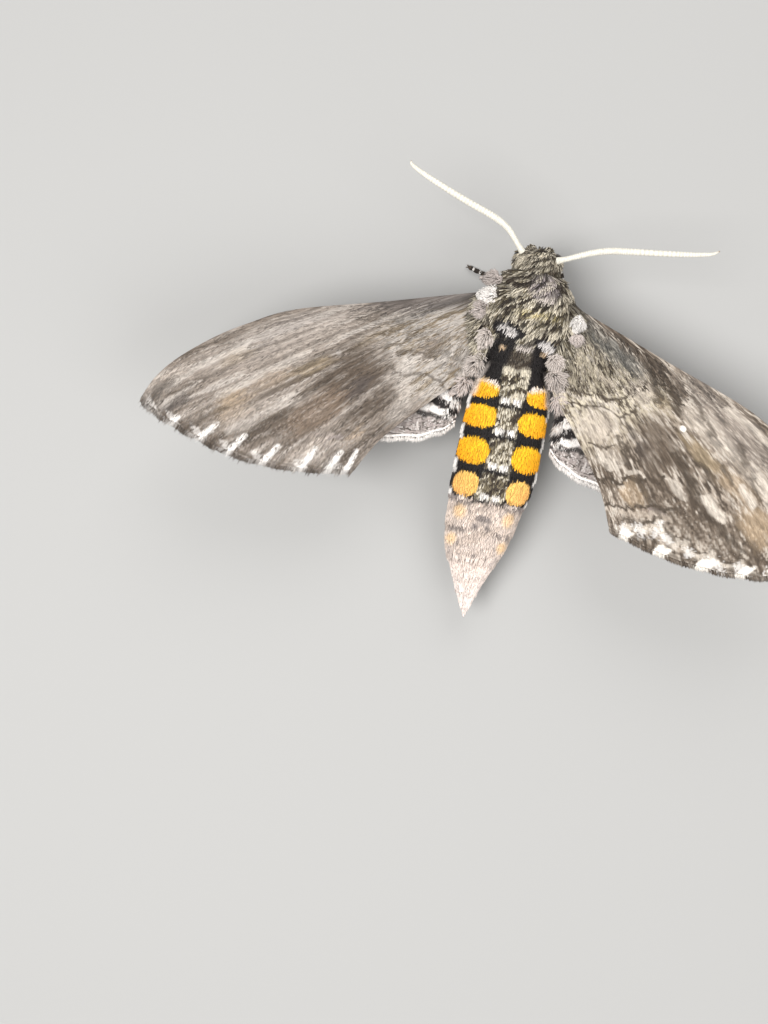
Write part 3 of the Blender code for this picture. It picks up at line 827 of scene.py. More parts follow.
    def orange_spots(self, found: Array, y: Array, turned: Array, out: Array,
                     dice: Array) -> Array:
        """The pairs of round orange spots, deeper outwards, the first pale in front and the last paler."""
        for centre_y, centre_x, wide, long in self.spots:
            edge = (np.abs((out - centre_x) / wide) ** 2.5 + np.abs((y - centre_y) / long) ** 2.5) ** 0.4
            inside = (1 - rise(edge + 0.07 * (dice[:, 2] - 0.5), 0.93, 1.03)) * (turned < 1.5)
            deep = np.clip(0.3 + 0.35 * (out - centre_x) / wide - 0.3 * (y - centre_y) / long, 0, 1)
            tone = blend(PAINT.orange, PAINT.amber, np.clip(deep + 0.3 * (dice[:, 1] - 0.5), 0, 1))
            if centre_y == self.spots[-1][0]:
                tone = 0.6 * tone + 0.4 * PAINT.peach
            found = over(found, tone, inside)
            if centre_y == self.spots[0][0]:
                front = rise(y - centre_y + 0.35 * (centre_x - out), 0.5, 1.5)
                found = over(found, PAINT.blush, inside * front)
        return found

    def tail(self, y: Array, out: Array, dice: Array) -> Array:
        """The pale end of the abdomen, with dusky smudges and faint spots.

        Args:
            y: Places along the body.
            out: How far out from the body's middle each place is.
            dice: Three values from 0 to 1 for each place.

        Returns:
            One colour a row.
        """
        end = self.streaks(dice, (5, 4, 1.2), (PAINT.pale, PAINT.beige, PAINT.smoke * 1.25))
        end = 0.3 * end + 0.7 * blend(PAINT.beige, PAINT.pale, rise(-y, 33, 43))
        smudge = noise(out * 0.9 + 3, y * 0.55, 3.0) * noise(out * 2.1, y * 1.3, 8.0)
        end = over(end, PAINT.smoke, 0.9 * rise(smudge, 0.3, 0.6) * (1 - rise(-y, 35, 39)))
        for edge_y in SEGMENT_EDGES[5:7]:
            mark = stripe(y, edge_y - 0.6, 0.4, 0.3) * stripe(out, 3.4, 1.3, 0.4)
            end = over(end, PAINT.smoke * 0.7, 0.75 * mark * (dice[:, 2] < 0.75))
        for centre_y, centre_x, wide, long in self.faint_spots:
            edge = np.hypot((out - centre_x) / wide, (y - centre_y) / long)
            end = over(end, PAINT.peach, 0.8 * (1 - rise(edge, 0.45, 1.3)))
        return end

    def abdomen(self, y: Array, turned: Array, out: Array, x: Array,
                dice: Array) -> Array:
        """Orange pairs on black, a streaked stripe with white tufts, and a pale end.

        Args:
            y: Places along the body.
            turned: Angles from straight up, without their sign.
            out: How far out from the body's middle each place is.
            x: How far to the right of the body's middle each place is; not used.
            dice: Three values from 0 to 1 for each place.

        Returns:
            One colour a row.
        """
        vary, chance = dice[:, 1:2], dice[:, 2]
        half = np.interp(-y, [7, 9, 13, 20, 27], [1.6, 2.0, 1.65, 1.75, 2.2])
        middle = self.streaks(dice, (4, 3.4, 2.2), (PAINT.cream, PAINT.olive * 1.15, PAINT.umber))
        found = layered(np.broadcast_to(PAINT.black, (len(y), 3)) * (0.8 + 0.5 * vary),
                        (middle, stripe(out, 0, half + 0.25 * (chance - 0.5), 0.15)),
                        (PAINT.umber * 1.1, 0.8 * rise(y, -8.2, -7.4) * stripe(out, 0, 1.7, 0.3)))
        found = self.orange_spots(found, y, turned, out, dice)
        above = turned < 1.2
        for edge_y in SEGMENT_EDGES[2:6]:
            found = layered(
                found, (PAINT.black, stripe(y, edge_y, 0.28, 0.16) * (out < half + 0.4) * above),
                (PAINT.white, stripe(y, edge_y + 0.75, 0.42, 0.15) * stripe(out, 0.85, 0.6, 0.12) * above),
                (PAINT.white, stripe(y, edge_y, 1.1, 0.3) * stripe(turned, 1.45, 0.22, 0.08)))
        belly = self.streaks(dice, (4, 3, 1), (PAINT.white * 0.85, PAINT.beige * 0.9, PAINT.smoke))
        belly = over(belly, PAINT.smoke * 0.5, 0.7 * stripe(turned, math.pi, 0.13, 0.05) * (y > -36))
        border = -27.6 + 0.5 * (chance - 0.5) + 0.35 * (out > 2.3)
        return layered(
            found, (PAINT.cream * 1.05, stripe(y, -7.9, 0.6, 0.2) * stripe(out, 1.3, 0.75, 0.2)),
            (PAINT.blush, 0.9 * stripe(turned, 1.35, 0.3, 0.15) * stripe(y, -9.6, 2.4, 0.5)),
            (self.tail(y, out, dice), rise(border - y, -0.15, 0.25)),
            (belly, rise(turned + 0.12 * (chance - 0.5), 1.6, 1.78)))


BODY = BodyShape()
BODY_MARKS = BodyMarkings()


@dataclass
class WingShape:
    """The forewing's outline out from the root and back from its line, and how it is held."""

    side: Side
    root: tuple = (7.6, 2.4, 12.2)
    sweeps: tuple = ((Side.LEFT, 27.7), (Side.RIGHT, 33.0))
    rise_angle: float = 7.0
    costa: tuple = ((0.0, -0.3), (12.5, -2.6), (26.0, -5.4), (33.3, -5.5), (38.8, -5.0), (44.7, -3.7),
                    (48.8, -2.0), (52.0, 0.3))
    outer: tuple = ((52.0, 0.3), (50.8, 2.9), (48.4, 5.8), (45.5, 8.9), (42.1, 12.0), (37.8, 14.9),
                    (32.4, 17.5), (27.8, 19.0), (25.4, 19.8))
    inner: tuple = ((1.8, 7.2), (4.2, 10.6), (11.0, 13.0), (19.3, 16.1), (25.4, 19.8))
    root_y: tuple = (2.9, -4.6)
    veins: tuple = ((0.05, 0.0), (0.14, 0.1), (0.24, 0.3), (0.34, 0.42), (0.45, 0.4), (0.57, 0.42),
                    (0.69, 0.35), (0.8, 0.25), (0.93, 0.0))
    scallop: float = 0.18

    def plan(self, across: Array, along: Array) -> Array:
        """Out and back, in the wing's own plane, from places across and along it.

        Args:
            across, along: Places on the wing from 0 to 1.

        Returns:
            One row of the two a place.
        """
        costa, outer, inner = np.array(self.costa), np.array(self.outer), np.array(self.inner)
        share = across[:, None]
        straight = (1 - share) * costa[-1] + share * outer[-1]
        bow = smooth(outer, across) - straight
        return (1 - share) * smooth(costa, along) + share * smooth(inner, along) + bow * along[:, None] ** 2

    def point(self, across: Array, along: Array) -> Array:
        """Points of the wing's middle surface.

        Args:
            across, along: Places on the wing from 0 to 1.

        Returns:
            One point a row.
        """
        out, back = self.plan(across, along).T
        out = out - np.cos(2 * math.pi * 8 * across) * self.scallop * along ** 8
        sweep = math.radians(dict(self.sweeps)[self.side])
        x = self.root[0] + out * math.cos(sweep) - back * math.sin(sweep)
        y = self.root[1] - out * math.sin(sweep) - back * math.cos(sweep)
        join = np.maximum(0.0, 1 - along * 6) ** 2
        root_y = self.root_y[0] + (self.root_y[1] - self.root_y[0]) * across
        root_x = self.side_of_thorax(root_y)
        x = x + (root_x - x) * join
        y = y + (root_y - y) * join
        z = self.root[2] + (x - self.root[0]) * math.tan(math.radians(self.rise_angle))
        z = z + 0.9 * np.sin(math.pi * across) * along * (1 - 0.4 * along)
        return np.stack([self.side.value * x, y, z], axis=1)

    def side_of_thorax(self, y: Array) -> Array:
        """How far out the skin of the thorax lies at the wing's height.

        Args:
            y: Places along the body.

        Returns:
            Millimetres, one value a place.
        """
        half, top, under = BODY.section(y).T
        height = np.clip(np.abs(self.root[2] - 0.5 * (top + under)) / (0.5 * (top - under)), 0, 0.99)
        return half * (1 - height ** BODY.squareness) ** (1 / BODY.squareness) + 0.05

    def axes(self, across: Array, along: Array) -> tuple[Array, Array, Array]:
        """Points with the way up from the wing and the way out along it.

        Args:
            across, along: Places on the wing from 0 to 1.

        Returns:
            Points, unit normals and unit directions.
        """
        step = 0.004
        out = self.point(across, along + step) - self.point(across, along - step)
        normal = unit(np.cross(out, self.point(across + step, along) - self.point(across - step, along)))
        return self.point(across, along), normal * np.sign(normal[:, 2:3]), unit(out)


@dataclass
class HindwingShape(WingShape):
    """The hindwing's outline as places on the moth, under the forewing."""

    costa: tuple = ((7.4, -3.4), (16.0, -7.4), (24.0, -12.2), (29.0, -16.2), (31.3, -19.4))
    outer: tuple = ((31.3, -19.4), (30.2, -21.8), (26.0, -23.0), (20.0, -23.0), (14.5, -22.4),
                    (10.2, -20.9), (7.3, -18.6))
    inner: tuple = ((6.7, -6.6), (7.0, -10.0), (7.3, -14.0), (7.3, -18.6))
    drop: float = 1.9
    swings: tuple = ((Side.LEFT, 1.6), (Side.RIGHT, 0.0))
    veins: tuple = ((0.06, 0.0), (0.2, 0.15), (0.36, 0.4), (0.5, 0.4), (0.64, 0.4), (0.78, 0.2), (0.92, 0.0))

    def point(self, across: Array, along: Array) -> Array:
        """Points of the hindwing's middle surface.

        Args:
            across, along: Places on the wing from 0 to 1.

        Returns:
            One point a row.
        """
        x, y = self.plan(across, along).T
        y = y + np.cos(2 * math.pi * 6 * across) * self.scallop * along ** 8
        y = y + dict(self.swings)[self.side] * along ** 1.5
        z = self.root[2] - self.drop + (x - self.root[0]) * math.tan(math.radians(self.rise_angle)) * 0.9
        z = z + 0.35 * np.sin(math.pi * 5 * across) * along
        return np.stack([self.side.value * x, y, z], axis=1)


def swept(out: Array, back: Array, bends: tuple) -> Array:
    """How far each place is from a line through a few bends.

    Args:
        out, back: Places in the wing's plane.
        bends: The line's bends in the same plane.

    Returns:
        One distance a place.
    """
    nearest = np.full(len(out), 1e9)
    for (x0, y0), (x1, y1) in zip(bends, bends[1:]):
        dx, dy = x1 - x0, y1 - y0
        t = np.clip(((out - x0) * dx + (back - y0) * dy) / (dx * dx + dy * dy), 0.0, 1.0)
        nearest = np.minimum(nearest, np.hypot(out - x0 - t * dx, back - y0 - t * dy))
    return nearest


@dataclass(frozen=True)
class Line:
    """A painted line on a wing: its colour's name, half its width, its strength and its bends."""

    paint: str
    half: float
    strength: float
    bends: tuple
    soft: float = 0.16


@dataclass(frozen=True)
class Cloud:
    """A soft patch on a wing: its colour's name, strength, middle, reach each way and lean in degrees."""

    paint: str
    strength: float
    middle: tuple
    reach: tuple
    lean: float = 0.0


FORE_CLOUDS = (
    Cloud("silver", 0.5, (28.0, -2.2), (13.0, 2.6), 3), Cloud("slate", 0.45, (6.5, 0.6), (7.0, 1.7), 3),
    Cloud("bark", 0.45, (33.5, 11.2), (9.0, 2.4), -10), Cloud("bark", 0.8, (20.9, 5.6), (5.6, 2.5), 14),
    Cloud("bark", 0.4, (27.0, 12.6), (4.5, 2.6), -20), Cloud("dusk", 0.6, (20.4, 8.1), (2.1, 1.4), 20),
    Cloud("dusk", 0.45, (17.4, 7.6), (1.8, 0.8), 10), Cloud("pearl", 0.62, (13.3, 10.3), (3.5, 2.7), -25),
    Cloud("pearl", 0.5, (13.8, 2.2), (2.6, 2.2), 0), Cloud("pearl", 0.4, (9.2, 4.6), (1.6, 0.8), 0),
    Cloud("straw", 0.4, (17.0, 1.8), (2.4, 1.1), 10), Cloud("straw", 0.75, (26.6, 3.2), (4.6, 1.1), 4),
    Cloud("sand", 0.6, (32.6, 3.3), (3.8, 1.5), 0), Cloud("sand", 0.85, (38.6, 5.3), (3.7, 2.4), 10),
    Cloud("bark", 0.5, (26.3, 16.4), (2.6, 0.9), -35),
    Cloud("bark", 0.45, (36.2, -3.6), (3.0, 0.9), 3), Cloud("dusk", 0.55, (46.6, 2.4), (3.4, 0.9), 8),
    Cloud("pearl", 0.7, (47.0, -1.6), (4.8, 0.8), 7), Cloud("bark", 0.35, (43.0, 8.2), (4.5, 1.6), -28),
    Cloud("mauve", 0.3, (27.2, 13.6), (2.0, 0.7), -35), Cloud("tan", 0.35, (22.8, 14.4), (1.6, 1.0), 30),
)
LEFT_CLOUDS = (
    Cloud("bark", 0.92, (21.0, 7.2), (7.0, 5.0), 22), Cloud("brown", 0.6, (27.5, 9.6), (6.0, 3.0), 14),
    Cloud("dusk", 0.5, (20.6, 8.0), (2.6, 1.4), 20), Cloud("pearl", 0.5, (28.0, -0.8), (14.0, 2.4), 3),
    Cloud("straw", 0.4, (36.5, -1.6), (3.8, 1.3), 3), Cloud("fawn", 0.6, (33.4, 3.8), (5.0, 1.9), 12),
    Cloud("pearl", 0.6, (28.6, 13.6), (6.0, 1.3), 24),
    Cloud("ivory", 0.55, (12.5, 9.0), (3.4, 3.2), 25), Cloud("bark", 0.6, (36.0, 9.6), (7.0, 1.5), 14),
    Cloud("pearl", 0.45, (38.0, 6.6), (6.0, 1.6), 12),
)
RIGHT_CLOUDS = (
    Cloud("ivory", 0.3, (12.6, 9.9), (3.6, 2.9), -25), Cloud("ivory", 0.3, (13.8, 2.4), (2.6, 2.0), 0),
    Cloud("ivory", 0.4, (24.5, 0.2), (6.5, 1.6), 3), Cloud("ivory", 0.4, (17.6, 12.6), (2.4, 1.4), -20),
    Cloud("ivory", 0.25, (33.6, 0.6), (5.0, 1.4), 6), Cloud("bark", 0.65, (22.6, 8.2), (4.2, 2.4), 22),
    Cloud("slate", 0.5, (8.5, 0.6), (4.0, 1.3), -10), Cloud("sand", 0.55, (24.0, 13.6), (3.0, 1.6), 20),
)
LEFT_ROOT_CLOUDS = (
    Cloud("dusk", 0.62, (6.8, -1.2), (9.5, 2.0), -11), Cloud("fawn", 0.55, (8.8, 5.6), (3.4, 1.5), 25),
    Cloud("ivory", 0.45, (15.6, 12.8), (2.8, 1.4), 30),
)
LEFT_LINES = (
    Line("umber", 0.16, 0.8, ((5.0, 8.6), (7.6, 6.6), (9.6, 6.8), (11.6, 5.2), (13.6, 5.0))),
    Line("umber", 0.16, 0.8, ((8.6, 11.4), (10.2, 9.2), (12.4, 8.4), (14.0, 8.4), (15.2, 6.6))),
    Line("umber", 0.14, 0.7, ((8.0, 3.4), (10.0, 3.0), (12.6, 3.6), (14.6, 3.2))),
    Line("ivory", 0.3, 0.7, ((6.4, 7.4), (8.6, 7.6), (11.0, 6.6), (13.0, 6.6)), 0.4),
    Line("umber", 0.3, 0.5, ((14.2, 1.8), (15.4, 4.4), (16.4, 7.4), (16.2, 10.5), (15.6, 13.2)), 0.4),
    Line("umber", 0.16, 0.5, ((18.7, 15.4), (20.6, 14.4), (23.0, 14.2), (26.0, 13.6))),
    Line("umber", 0.4, 0.7, ((23.6, 5.7), (27.4, 6.8), (30.8, 8.1), (33.4, 8.8)), 0.4),
    Line("umber", 0.2, 0.5, ((32.5, 8.5), (36.0, 9.0), (39.5, 9.8)), 0.3),
    Line("umber", 0.25, 0.55, ((22.6, 11.8), (25.0, 12.4), (28.0, 13.2)), 0.3),
    Line("umber", 0.3, 0.55, ((19.0, 1.5), (24.0, 2.2), (29.0, 3.0)), 0.3),
    Line("umber", 0.26, 0.5, ((28.0, 4.2), (33.0, 5.0), (37.0, 6.0)), 0.3),
    Line("umber", 0.22, 0.5, ((24.0, -2.0), (30.0, -1.6), (36.0, -1.4)), 0.3),
    Line("ivory", 0.42, 0.6, ((30.0, 6.4), (35.0, 7.6), (40.0, 8.8)), 0.4),
    Line("ivory", 0.36, 0.6, ((26.0, 1.0), (33.0, 2.0), (40.0, 3.2)), 0.4),
    Line("ivory", 0.4, 0.6, ((34.0, -2.6), (42.0, -1.6), (49.0, 0.0)), 0.4),
    Line("ivory", 0.3, 0.6, ((43.4, 0.6), (46.4, 1.4), (49.6, 2.6)), 0.3),
    Line("umber", 0.4, 0.85, ((46.6, -0.9), (49.6, 0.4), (52.2, 1.2)), 0.35),
    Line("umber", 0.3, 0.6, ((40.0, 5.2), (44.0, 5.9), (47.6, 6.8)), 0.3),
)
RIGHT_LINES = (
    Line("umber", 0.13, 0.8, ((4.6, 10.6), (5.7, 9.8), (7.1, 8.8), (8.8, 8.1), (9.9, 6.7), (11.4, 6.6),
                              (12.6, 5.8), (13.3, 4.4), (12.8, 2.8), (13.8, 1.0))),
    Line("ivory", 0.12, 0.45, ((5.4, 10.9), (6.4, 9.9), (7.5, 9.4), (9.2, 8.7), (10.4, 7.2), (11.8, 7.1),
                               (13.2, 6.2))),
    Line("umber", 0.09, 0.7, ((7.4, 11.6), (8.4, 10.2), (9.8, 9.4), (10.9, 8.4), (12.1, 7.7), (13.7, 7.4),
                              (14.6, 7.3), (15.5, 5.8), (15.0, 4.4))),
    Line("umber", 0.08, 0.45, ((10.6, 8.9), (12.4, 8.3), (13.9, 8.4), (14.8, 9.2), (15.4, 10.1))),
    Line("ivory", 0.11, 0.6, ((11.4, 8.3), (13.2, 7.7), (14.7, 8.1), (15.9, 9.2), (16.8, 10.2))),
    Line("umber", 0.1, 0.7, ((13.8, 12.9), (14.6, 12.3), (15.6, 12.1), (16.6, 11.5), (16.9, 10.7))),
    Line("umber", 0.14, 0.65, ((16.6, 9.2), (17.3, 9.9), (18.0, 9.2), (19.3, 10.2), (20.2, 9.8))),
    Line("ivory", 0.22, 0.5, ((17.0, 13.3), (18.2, 12.6), (18.9, 13.1), (20.1, 12.0), (21.0, 12.2),
                              (21.9, 11.0))),
    Line("umber", 0.15, 0.8, ((18.7, 15.8), (19.8, 14.3), (21.2, 13.9), (21.6, 12.5), (23.0, 12.0),
                              (23.3, 10.7), (24.8, 10.3), (25.2, 9.0))),
    Line("umber", 0.12, 0.75, ((22.2, 17.6), (23.4, 16.3), (24.4, 15.9), (25.0, 14.6), (26.2, 14.0),
                               (26.8, 12.6), (28.4, 12.2), (29.2, 10.8))),
    Line("pearl", 0.3, 0.5, ((24.6, 16.7), (25.6, 15.4), (27.0, 14.6), (27.9, 13.2), (29.6, 12.8))),
    Line("umber", 0.11, 0.6, ((25.4, 17.7), (26.3, 16.4), (27.7, 15.6), (28.6, 14.4), (30.0, 13.9))),
    Line("umber", 0.4, 0.75, ((23.6, 5.7), (27.4, 6.8), (30.8, 8.1), (33.4, 8.6)), 0.4),
    Line("umber", 0.2, 0.5, ((32.5, 8.5), (36.0, 8.8), (39.5, 9.1)), 0.3),
    Line("umber", 0.25, 0.55, ((22.6, 11.8), (25.0, 12.4), (28.0, 13.0)), 0.3),
    Line("umber", 0.3, 0.65, ((12.0, -0.7), (14.2, 0.4), (16.6, 1.8)), 0.25),
    Line("umber", 0.26, 0.65, ((16.8, -0.5), (18.2, 0.1), (20.2, 1.1)), 0.25),
    Line("umber", 0.16, 0.5, ((19.6, -1.6), (21.6, -1.0), (23.0, -0.5)), 0.2),
    Line("umber", 0.22, 0.5, ((23.8, -0.5), (25.4, 0.2)), 0.2),
    Line("umber", 0.34, 0.5, ((29.2, -1.0), (31.1, 0.0)), 0.3),
    Line("umber", 0.26, 0.6, ((29.8, 2.5), (31.8, 3.3)), 0.25),
    Line("umber", 0.22, 0.6, ((27.4, 4.2), (29.4, 5.1)), 0.2),
    Line("umber", 0.2, 0.45, ((33.0, -2.6), (35.4, -2.2)), 0.2),
    Line("umber", 0.2, 0.4, ((37.0, 1.0), (39.4, 1.6)), 0.2),
    Line("ivory", 0.26, 0.5, ((26.0, 8.5), (27.4, 8.9), (28.8, 9.2)), 0.3),
    Line("ivory", 0.42, 0.75, ((31.0, 7.2), (32.8, 7.4), (34.6, 7.7)), 0.35),
    Line("ivory", 0.34, 0.75, ((33.8, 3.0), (35.0, 3.2), (36.2, 3.5)), 0.3),
    Line("ivory", 0.36, 0.45, ((33.6, 0.1), (35.4, 1.0), (37.4, 1.8)), 0.35),
    Line("ivory", 0.3, 0.5, ((24.0, -3.4), (28.0, -3.9), (32.0, -4.0)), 0.4),
    Line("ivory", 0.26, 0.5, ((37.4, -1.8), (40.2, -1.2)), 0.3),
    Line("ivory", 0.26, 0.45, ((40.0, 3.0), (43.0, 3.8)), 0.3),
    Line("ivory", 0.3, 0.6, ((43.4, 0.4), (46.0, 0.7), (49.2, 1.0)), 0.3),
    Line("umber", 0.3, 0.85, ((47.6, -0.5), (49.6, -0.2), (52.2, 0.2)), 0.25),
    Line("umber", 0.14, 0.55, ((26.4, 17.0), (28.4, 14.7), (28.6, 13.3), (30.0, 14.2), (32.4, 14.3),
                               (33.2, 12.9), (34.6, 13.6), (36.2, 13.0), (37.0, 11.4), (38.6, 11.9),
                               (40.1, 11.2), (41.0, 9.6), (42.6, 9.9), (43.6, 8.9), (44.2, 7.2),
                               (46.0, 7.0), (47.0, 5.2))),
    Line("ivory", 0.24, 0.55, ((25.4, 19.2), (27.6, 16.8), (29.3, 15.6), (29.0, 13.9), (30.7, 15.1),
                               (32.5, 15.1), (33.2, 13.6), (34.5, 14.4), (36.3, 13.8), (37.0, 12.1),
                               (38.4, 12.7), (40.1, 12.0), (41.0, 10.3), (42.5, 10.7), (43.7, 9.6),
                               (44.3, 7.9), (46.0, 7.7), (47.2, 5.8))),
    Line("umber", 0.1, 0.5, ((27.2, 18.7), (28.4, 17.2), (30.2, 16.4), (32.4, 15.9), (34.4, 15.3),
                             (36.6, 14.6), (38.8, 13.4), (41.2, 11.6), (43.4, 10.2), (45.6, 8.0))),
)


@dataclass
class ForewingMarkings:
    """The forewing's bark-like pattern, by out and back in its own plane."""

    checks: tuple = (50.6, 48.2, 45.3, 41.9, 37.6, 32.2, 27.0)
    point: tuple = (21.9, 2.4)
    smears: tuple = (((42.1, 7.3), (46.0, 8.5)), ((38.7, 10.1), (42.6, 11.9)), ((34.5, 13.0), (38.3, 14.9)),
                     ((29.3, 14.9), (32.8, 17.3)), ((25.9, 16.5), (29.3, 18.9)), ((23.6, 17.0), (25.8, 19.2)),
                     ((47.4, 4.6), (49.0, 5.2)))
    blobs: tuple = (((26.3, 18.2), (0.9, 0.7)), ((27.8, 16.6), (1.2, 0.8)), ((29.8, 15.3), (0.7, 1.0)),
                    ((29.2, 14.0), (0.4, 0.7)), ((31.4, 15.1), (1.2, 0.7)), ((34.8, 14.2), (1.0, 0.6)),
                    ((38.6, 12.9), (1.3, 0.7)), ((41.2, 11.0), (0.8, 0.6)), ((44.2, 8.6), (0.9, 0.7)),
                    ((47.2, 6.0), (0.8, 0.6)))

    def colours(self, shape: WingShape, across: Array, along: Array, dice: Array) -> Array:
        """The colour of the upper face at each place.

        Args:
            shape: The wing.
            across, along: Places on it from 0 to 1.
            dice: Three values from 0 to 1 for each place.

        Returns:
            One colour a row.
        """
        out, back = shape.plan(across, along).T
        left = shape.side is Side.LEFT
        fan = self.fan(out, back)
        bent = fan + 0.5 * noise(out * 0.2, back * 0.5, 3.0)
        reach, crowd = (0.1, 2.6) if left else (0.6, 3.4)
        shares = (0.3, 0.35, 0.25, 0.1) if left else (0.2, 0.36, 0.34, 0.1)
        levels = [noise(bent * close, out * reach * long, seed)
                  for close, long, seed in ((0.9, 0.5, 8.0), (crowd, 1.0, 1.0), (crowd * 2.4, 1.8, 2.0),
                                            (crowd * 5.2, 4.0, 4.0))]
        fine, grain = levels[2:]
        streak = 0.5 + 1.75 * (sum(share * level for share, level in zip(shares, levels)) - 0.5)
        streak = np.clip(streak + 0.14 * (dice[:, 0] - 0.5), 0.0, 1.0)
        dark = PAINT.fawn * 0.72 if left else PAINT.bark * 0.75 + PAINT.fawn * 0.2
        drift = 0.4 * (noise(out * 0.16, back * 0.32, 5.0) - 0.5)
        ground = rise(streak + drift, *((0.12, 0.78) if left else (0.18, 0.86)))
        found = blend(dark, PAINT.pearl * (0.74 if left else 0.93), ground)
        if not left:
            found = self.root_third(found, out, back, streak, left)
        strong = 0.62 if left else 0.85
        found = layered(found, (PAINT.ivory * (0.75 if left else 0.88), strong * rise(streak, 0.6, 0.78)),
                        (PAINT.bark * 0.6, strong * rise(1 - streak, 0.6, 0.78)))
        smear = 0.6 + 1.8 * rise(out, 13, 18) if left else 0.9
        warped_out = (out + smear * (noise(fan * 2.4, out * 0.12, 61.0) - 0.5)
                      + 0.3 * (noise(out * 3.1, back * 3.7, 62.0) - 0.5))
        warped_back = back + 0.6 * (noise(out * 0.7, back * 1.3, 63.0) - 0.5)
        for cloud in FORE_CLOUDS + (LEFT_CLOUDS if left else RIGHT_CLOUDS):
            found = self.cloud(found, cloud, warped_out, out, back, streak)
        if left:
            for paint, strength, close, seed in (("ivory", 0.35, 1.9, 91.0), ("umber", 0.4, 2.3, 92.0)):
                level = noise(bent * close, out * 0.07, seed)
                found = over(found, getattr(PAINT, paint), strength * stripe(level, 0.5, 0.03, 0.05))
            found = self.root_third(found, out, back, streak, left)
            for cloud in LEFT_ROOT_CLOUDS:
                found = self.cloud(found, cloud, out, out, back, streak)
        strength = 0.85 if left else 0.9 + 0.4 * rise(fine, 0.3, 0.6)
        for line in (LEFT_LINES if left else RIGHT_LINES):
            half = line.half * (1.0 if left else 1.45)
            far = rise(swept(warped_out, warped_back, line.bends), half - line.soft * 0.5, half + line.soft)
            found = over(found, getattr(PAINT, line.paint), line.strength * strength * (1 - far))
        dot = np.hypot((out - self.point[0]) / 0.5, (back - self.point[1]) / 0.42)
        found = over(found, PAINT.white, (0.15 if left else 1.0) * (1 - rise(dot, 0.6, 1.2)))
        found = self.margin(found, out, across, along, streak, left)
        if left:
            return self.drawn_out(found, out, back, fine)
        ragged = 1.3 * (grain - 0.5) + 1.0 * (fine - 0.5)
        found = found * (1.0, 0.98, 0.93)
        for middle, size in self.blobs:
            far = np.hypot((out - middle[0]) / size[0], (back - middle[1]) / size[1]) + ragged
            found = over(found, PAINT.white * 0.84, 0.6 * (1 - rise(far, 0.55, 1.05)))
        return found

    def drawn_out(self, found: Array, out: Array, back: Array, fine: Array) -> Array:
        """The left wing's white checks as long smears that run in from the edge."""
        for bends in self.smears:
            far = swept(out, back, bends) + 0.14 * (fine - 0.5)
            run = 0.3 + 0.7 * rise(out, bends[0][0] - 1.5, bends[0][0] + 1.2)
            found = over(found, PAINT.white * 0.9, run * (1 - rise(far, 0.28, 0.5)))
        return found

    def root_third(self, found: Array, out: Array, back: Array, streak: Array,
                   left: bool) -> Array:
        """Paler, hairier ground near the body: cream-beige on the left, olive and cream on the right.

        Args:
            found: The colours so far.
            out, back: Places in the wing's own plane.
            streak: How pale the streak at each place is, from 0 to 1.
            left: Whether it is the left wing.

        Returns:
            One colour a row.
        """
        fan = self.fan(out, back)
        near = 1 - rise(out + 0.35 * back + 3 * (streak - 0.5), *((15.0, 17.2) if left else (15, 23)))
        tuft = (0.6 * noise(fan * 2.0, out * (0.45 if left else 1.3), 6.0)
                + 0.4 * noise(fan * 4.4, out * 1.4, 7.0))
        low, high = PAINT.olive * 0.8, PAINT.cream * 0.95
        if left:
            low, high = PAINT.straw * 0.98, PAINT.ivory * 0.75
        return layered(found, (blend(low, high, rise(tuft, 0.3, 0.56)),
                               (0.85 if left else 0.8) * near * rise(back, -1.0, 2.2)),
                       (PAINT.umber * 0.9, (0.5 if left else 0.85) * near * rise(1 - tuft, 0.62, 0.72)))

    def fan(self, out: Array, back: Array) -> Array:
        """Which streak each place is in: lines that spread from the root, in millimetres at mid wing."""
        return 60.0 * (back + 6.0) / (out + 30.0)

    def cloud(self, found: Array, cloud: Cloud, warped_out: Array, out: Array, back: Array,
              streak: Array) -> Array:
        """One soft patch, ragged along the streaks.

        Args:
            found: The colours so far.
            cloud: The patch.
            warped_out: The same way out, made ragged.
            out, back: Places in the wing's own plane.
            streak: How pale the streak at each place is, from 0 to 1.

        Returns:
            One colour a row.
        """
        lean = math.radians(cloud.lean)
        x, y = warped_out - cloud.middle[0], back - cloud.middle[1]
        length = (x * math.cos(lean) + y * math.sin(lean)) / cloud.reach[0]
        breadth = (y * math.cos(lean) - x * math.sin(lean)) / cloud.reach[1]
        grain = noise(out * 0.8, back * 1.7, 21.0)
        edge = np.hypot(length, breadth) + 0.5 * (streak - 0.5) + 0.3 * (grain - 0.5)
        tone = getattr(PAINT, cloud.paint) * (0.7 + 0.55 * streak[:, None])
        return over(found, tone, cloud.strength * (1 - rise(edge, 0.5, 1.15)))

    def margin(self, found: Array, out: Array, across: Array, along: Array,
               streak: Array, left: bool) -> Array:
        """The mottled edge and the white checks of the fringe.

        Args:
            found: The colours so far.
            out: Places in the wing's own plane.
            across, along: Places on the wing from 0 to 1.
            streak: How pale the streak at each place is, from 0 to 1.
            left: Whether it is the left wing.

        Returns:
            One colour a row.
        """
        mottle = noise(across * 34, along * 60, 33.0)
        edge = rise(along, 0.93, 0.97)
        check = self.check_at(across, out) * (0.35 if left else 1.0)
        return layered(found, (PAINT.bark * 1.05, 0.5 * edge * rise(mottle, 0.4, 0.7)),
                       (PAINT.ivory * 0.9, 0.3 * edge * rise(1 - mottle, 0.6, 0.8)),
                       (PAINT.umber, 0.55 * stripe(along, 0.972, 0.006, 0.006) * (1 - check)),
                       (PAINT.bark, 0.42 * rise(along, 0.975, 0.985) * (1 - check)),
                       (PAINT.white, check * rise(along - 0.955 + 0.02 * streak, -0.008, 0.008)))

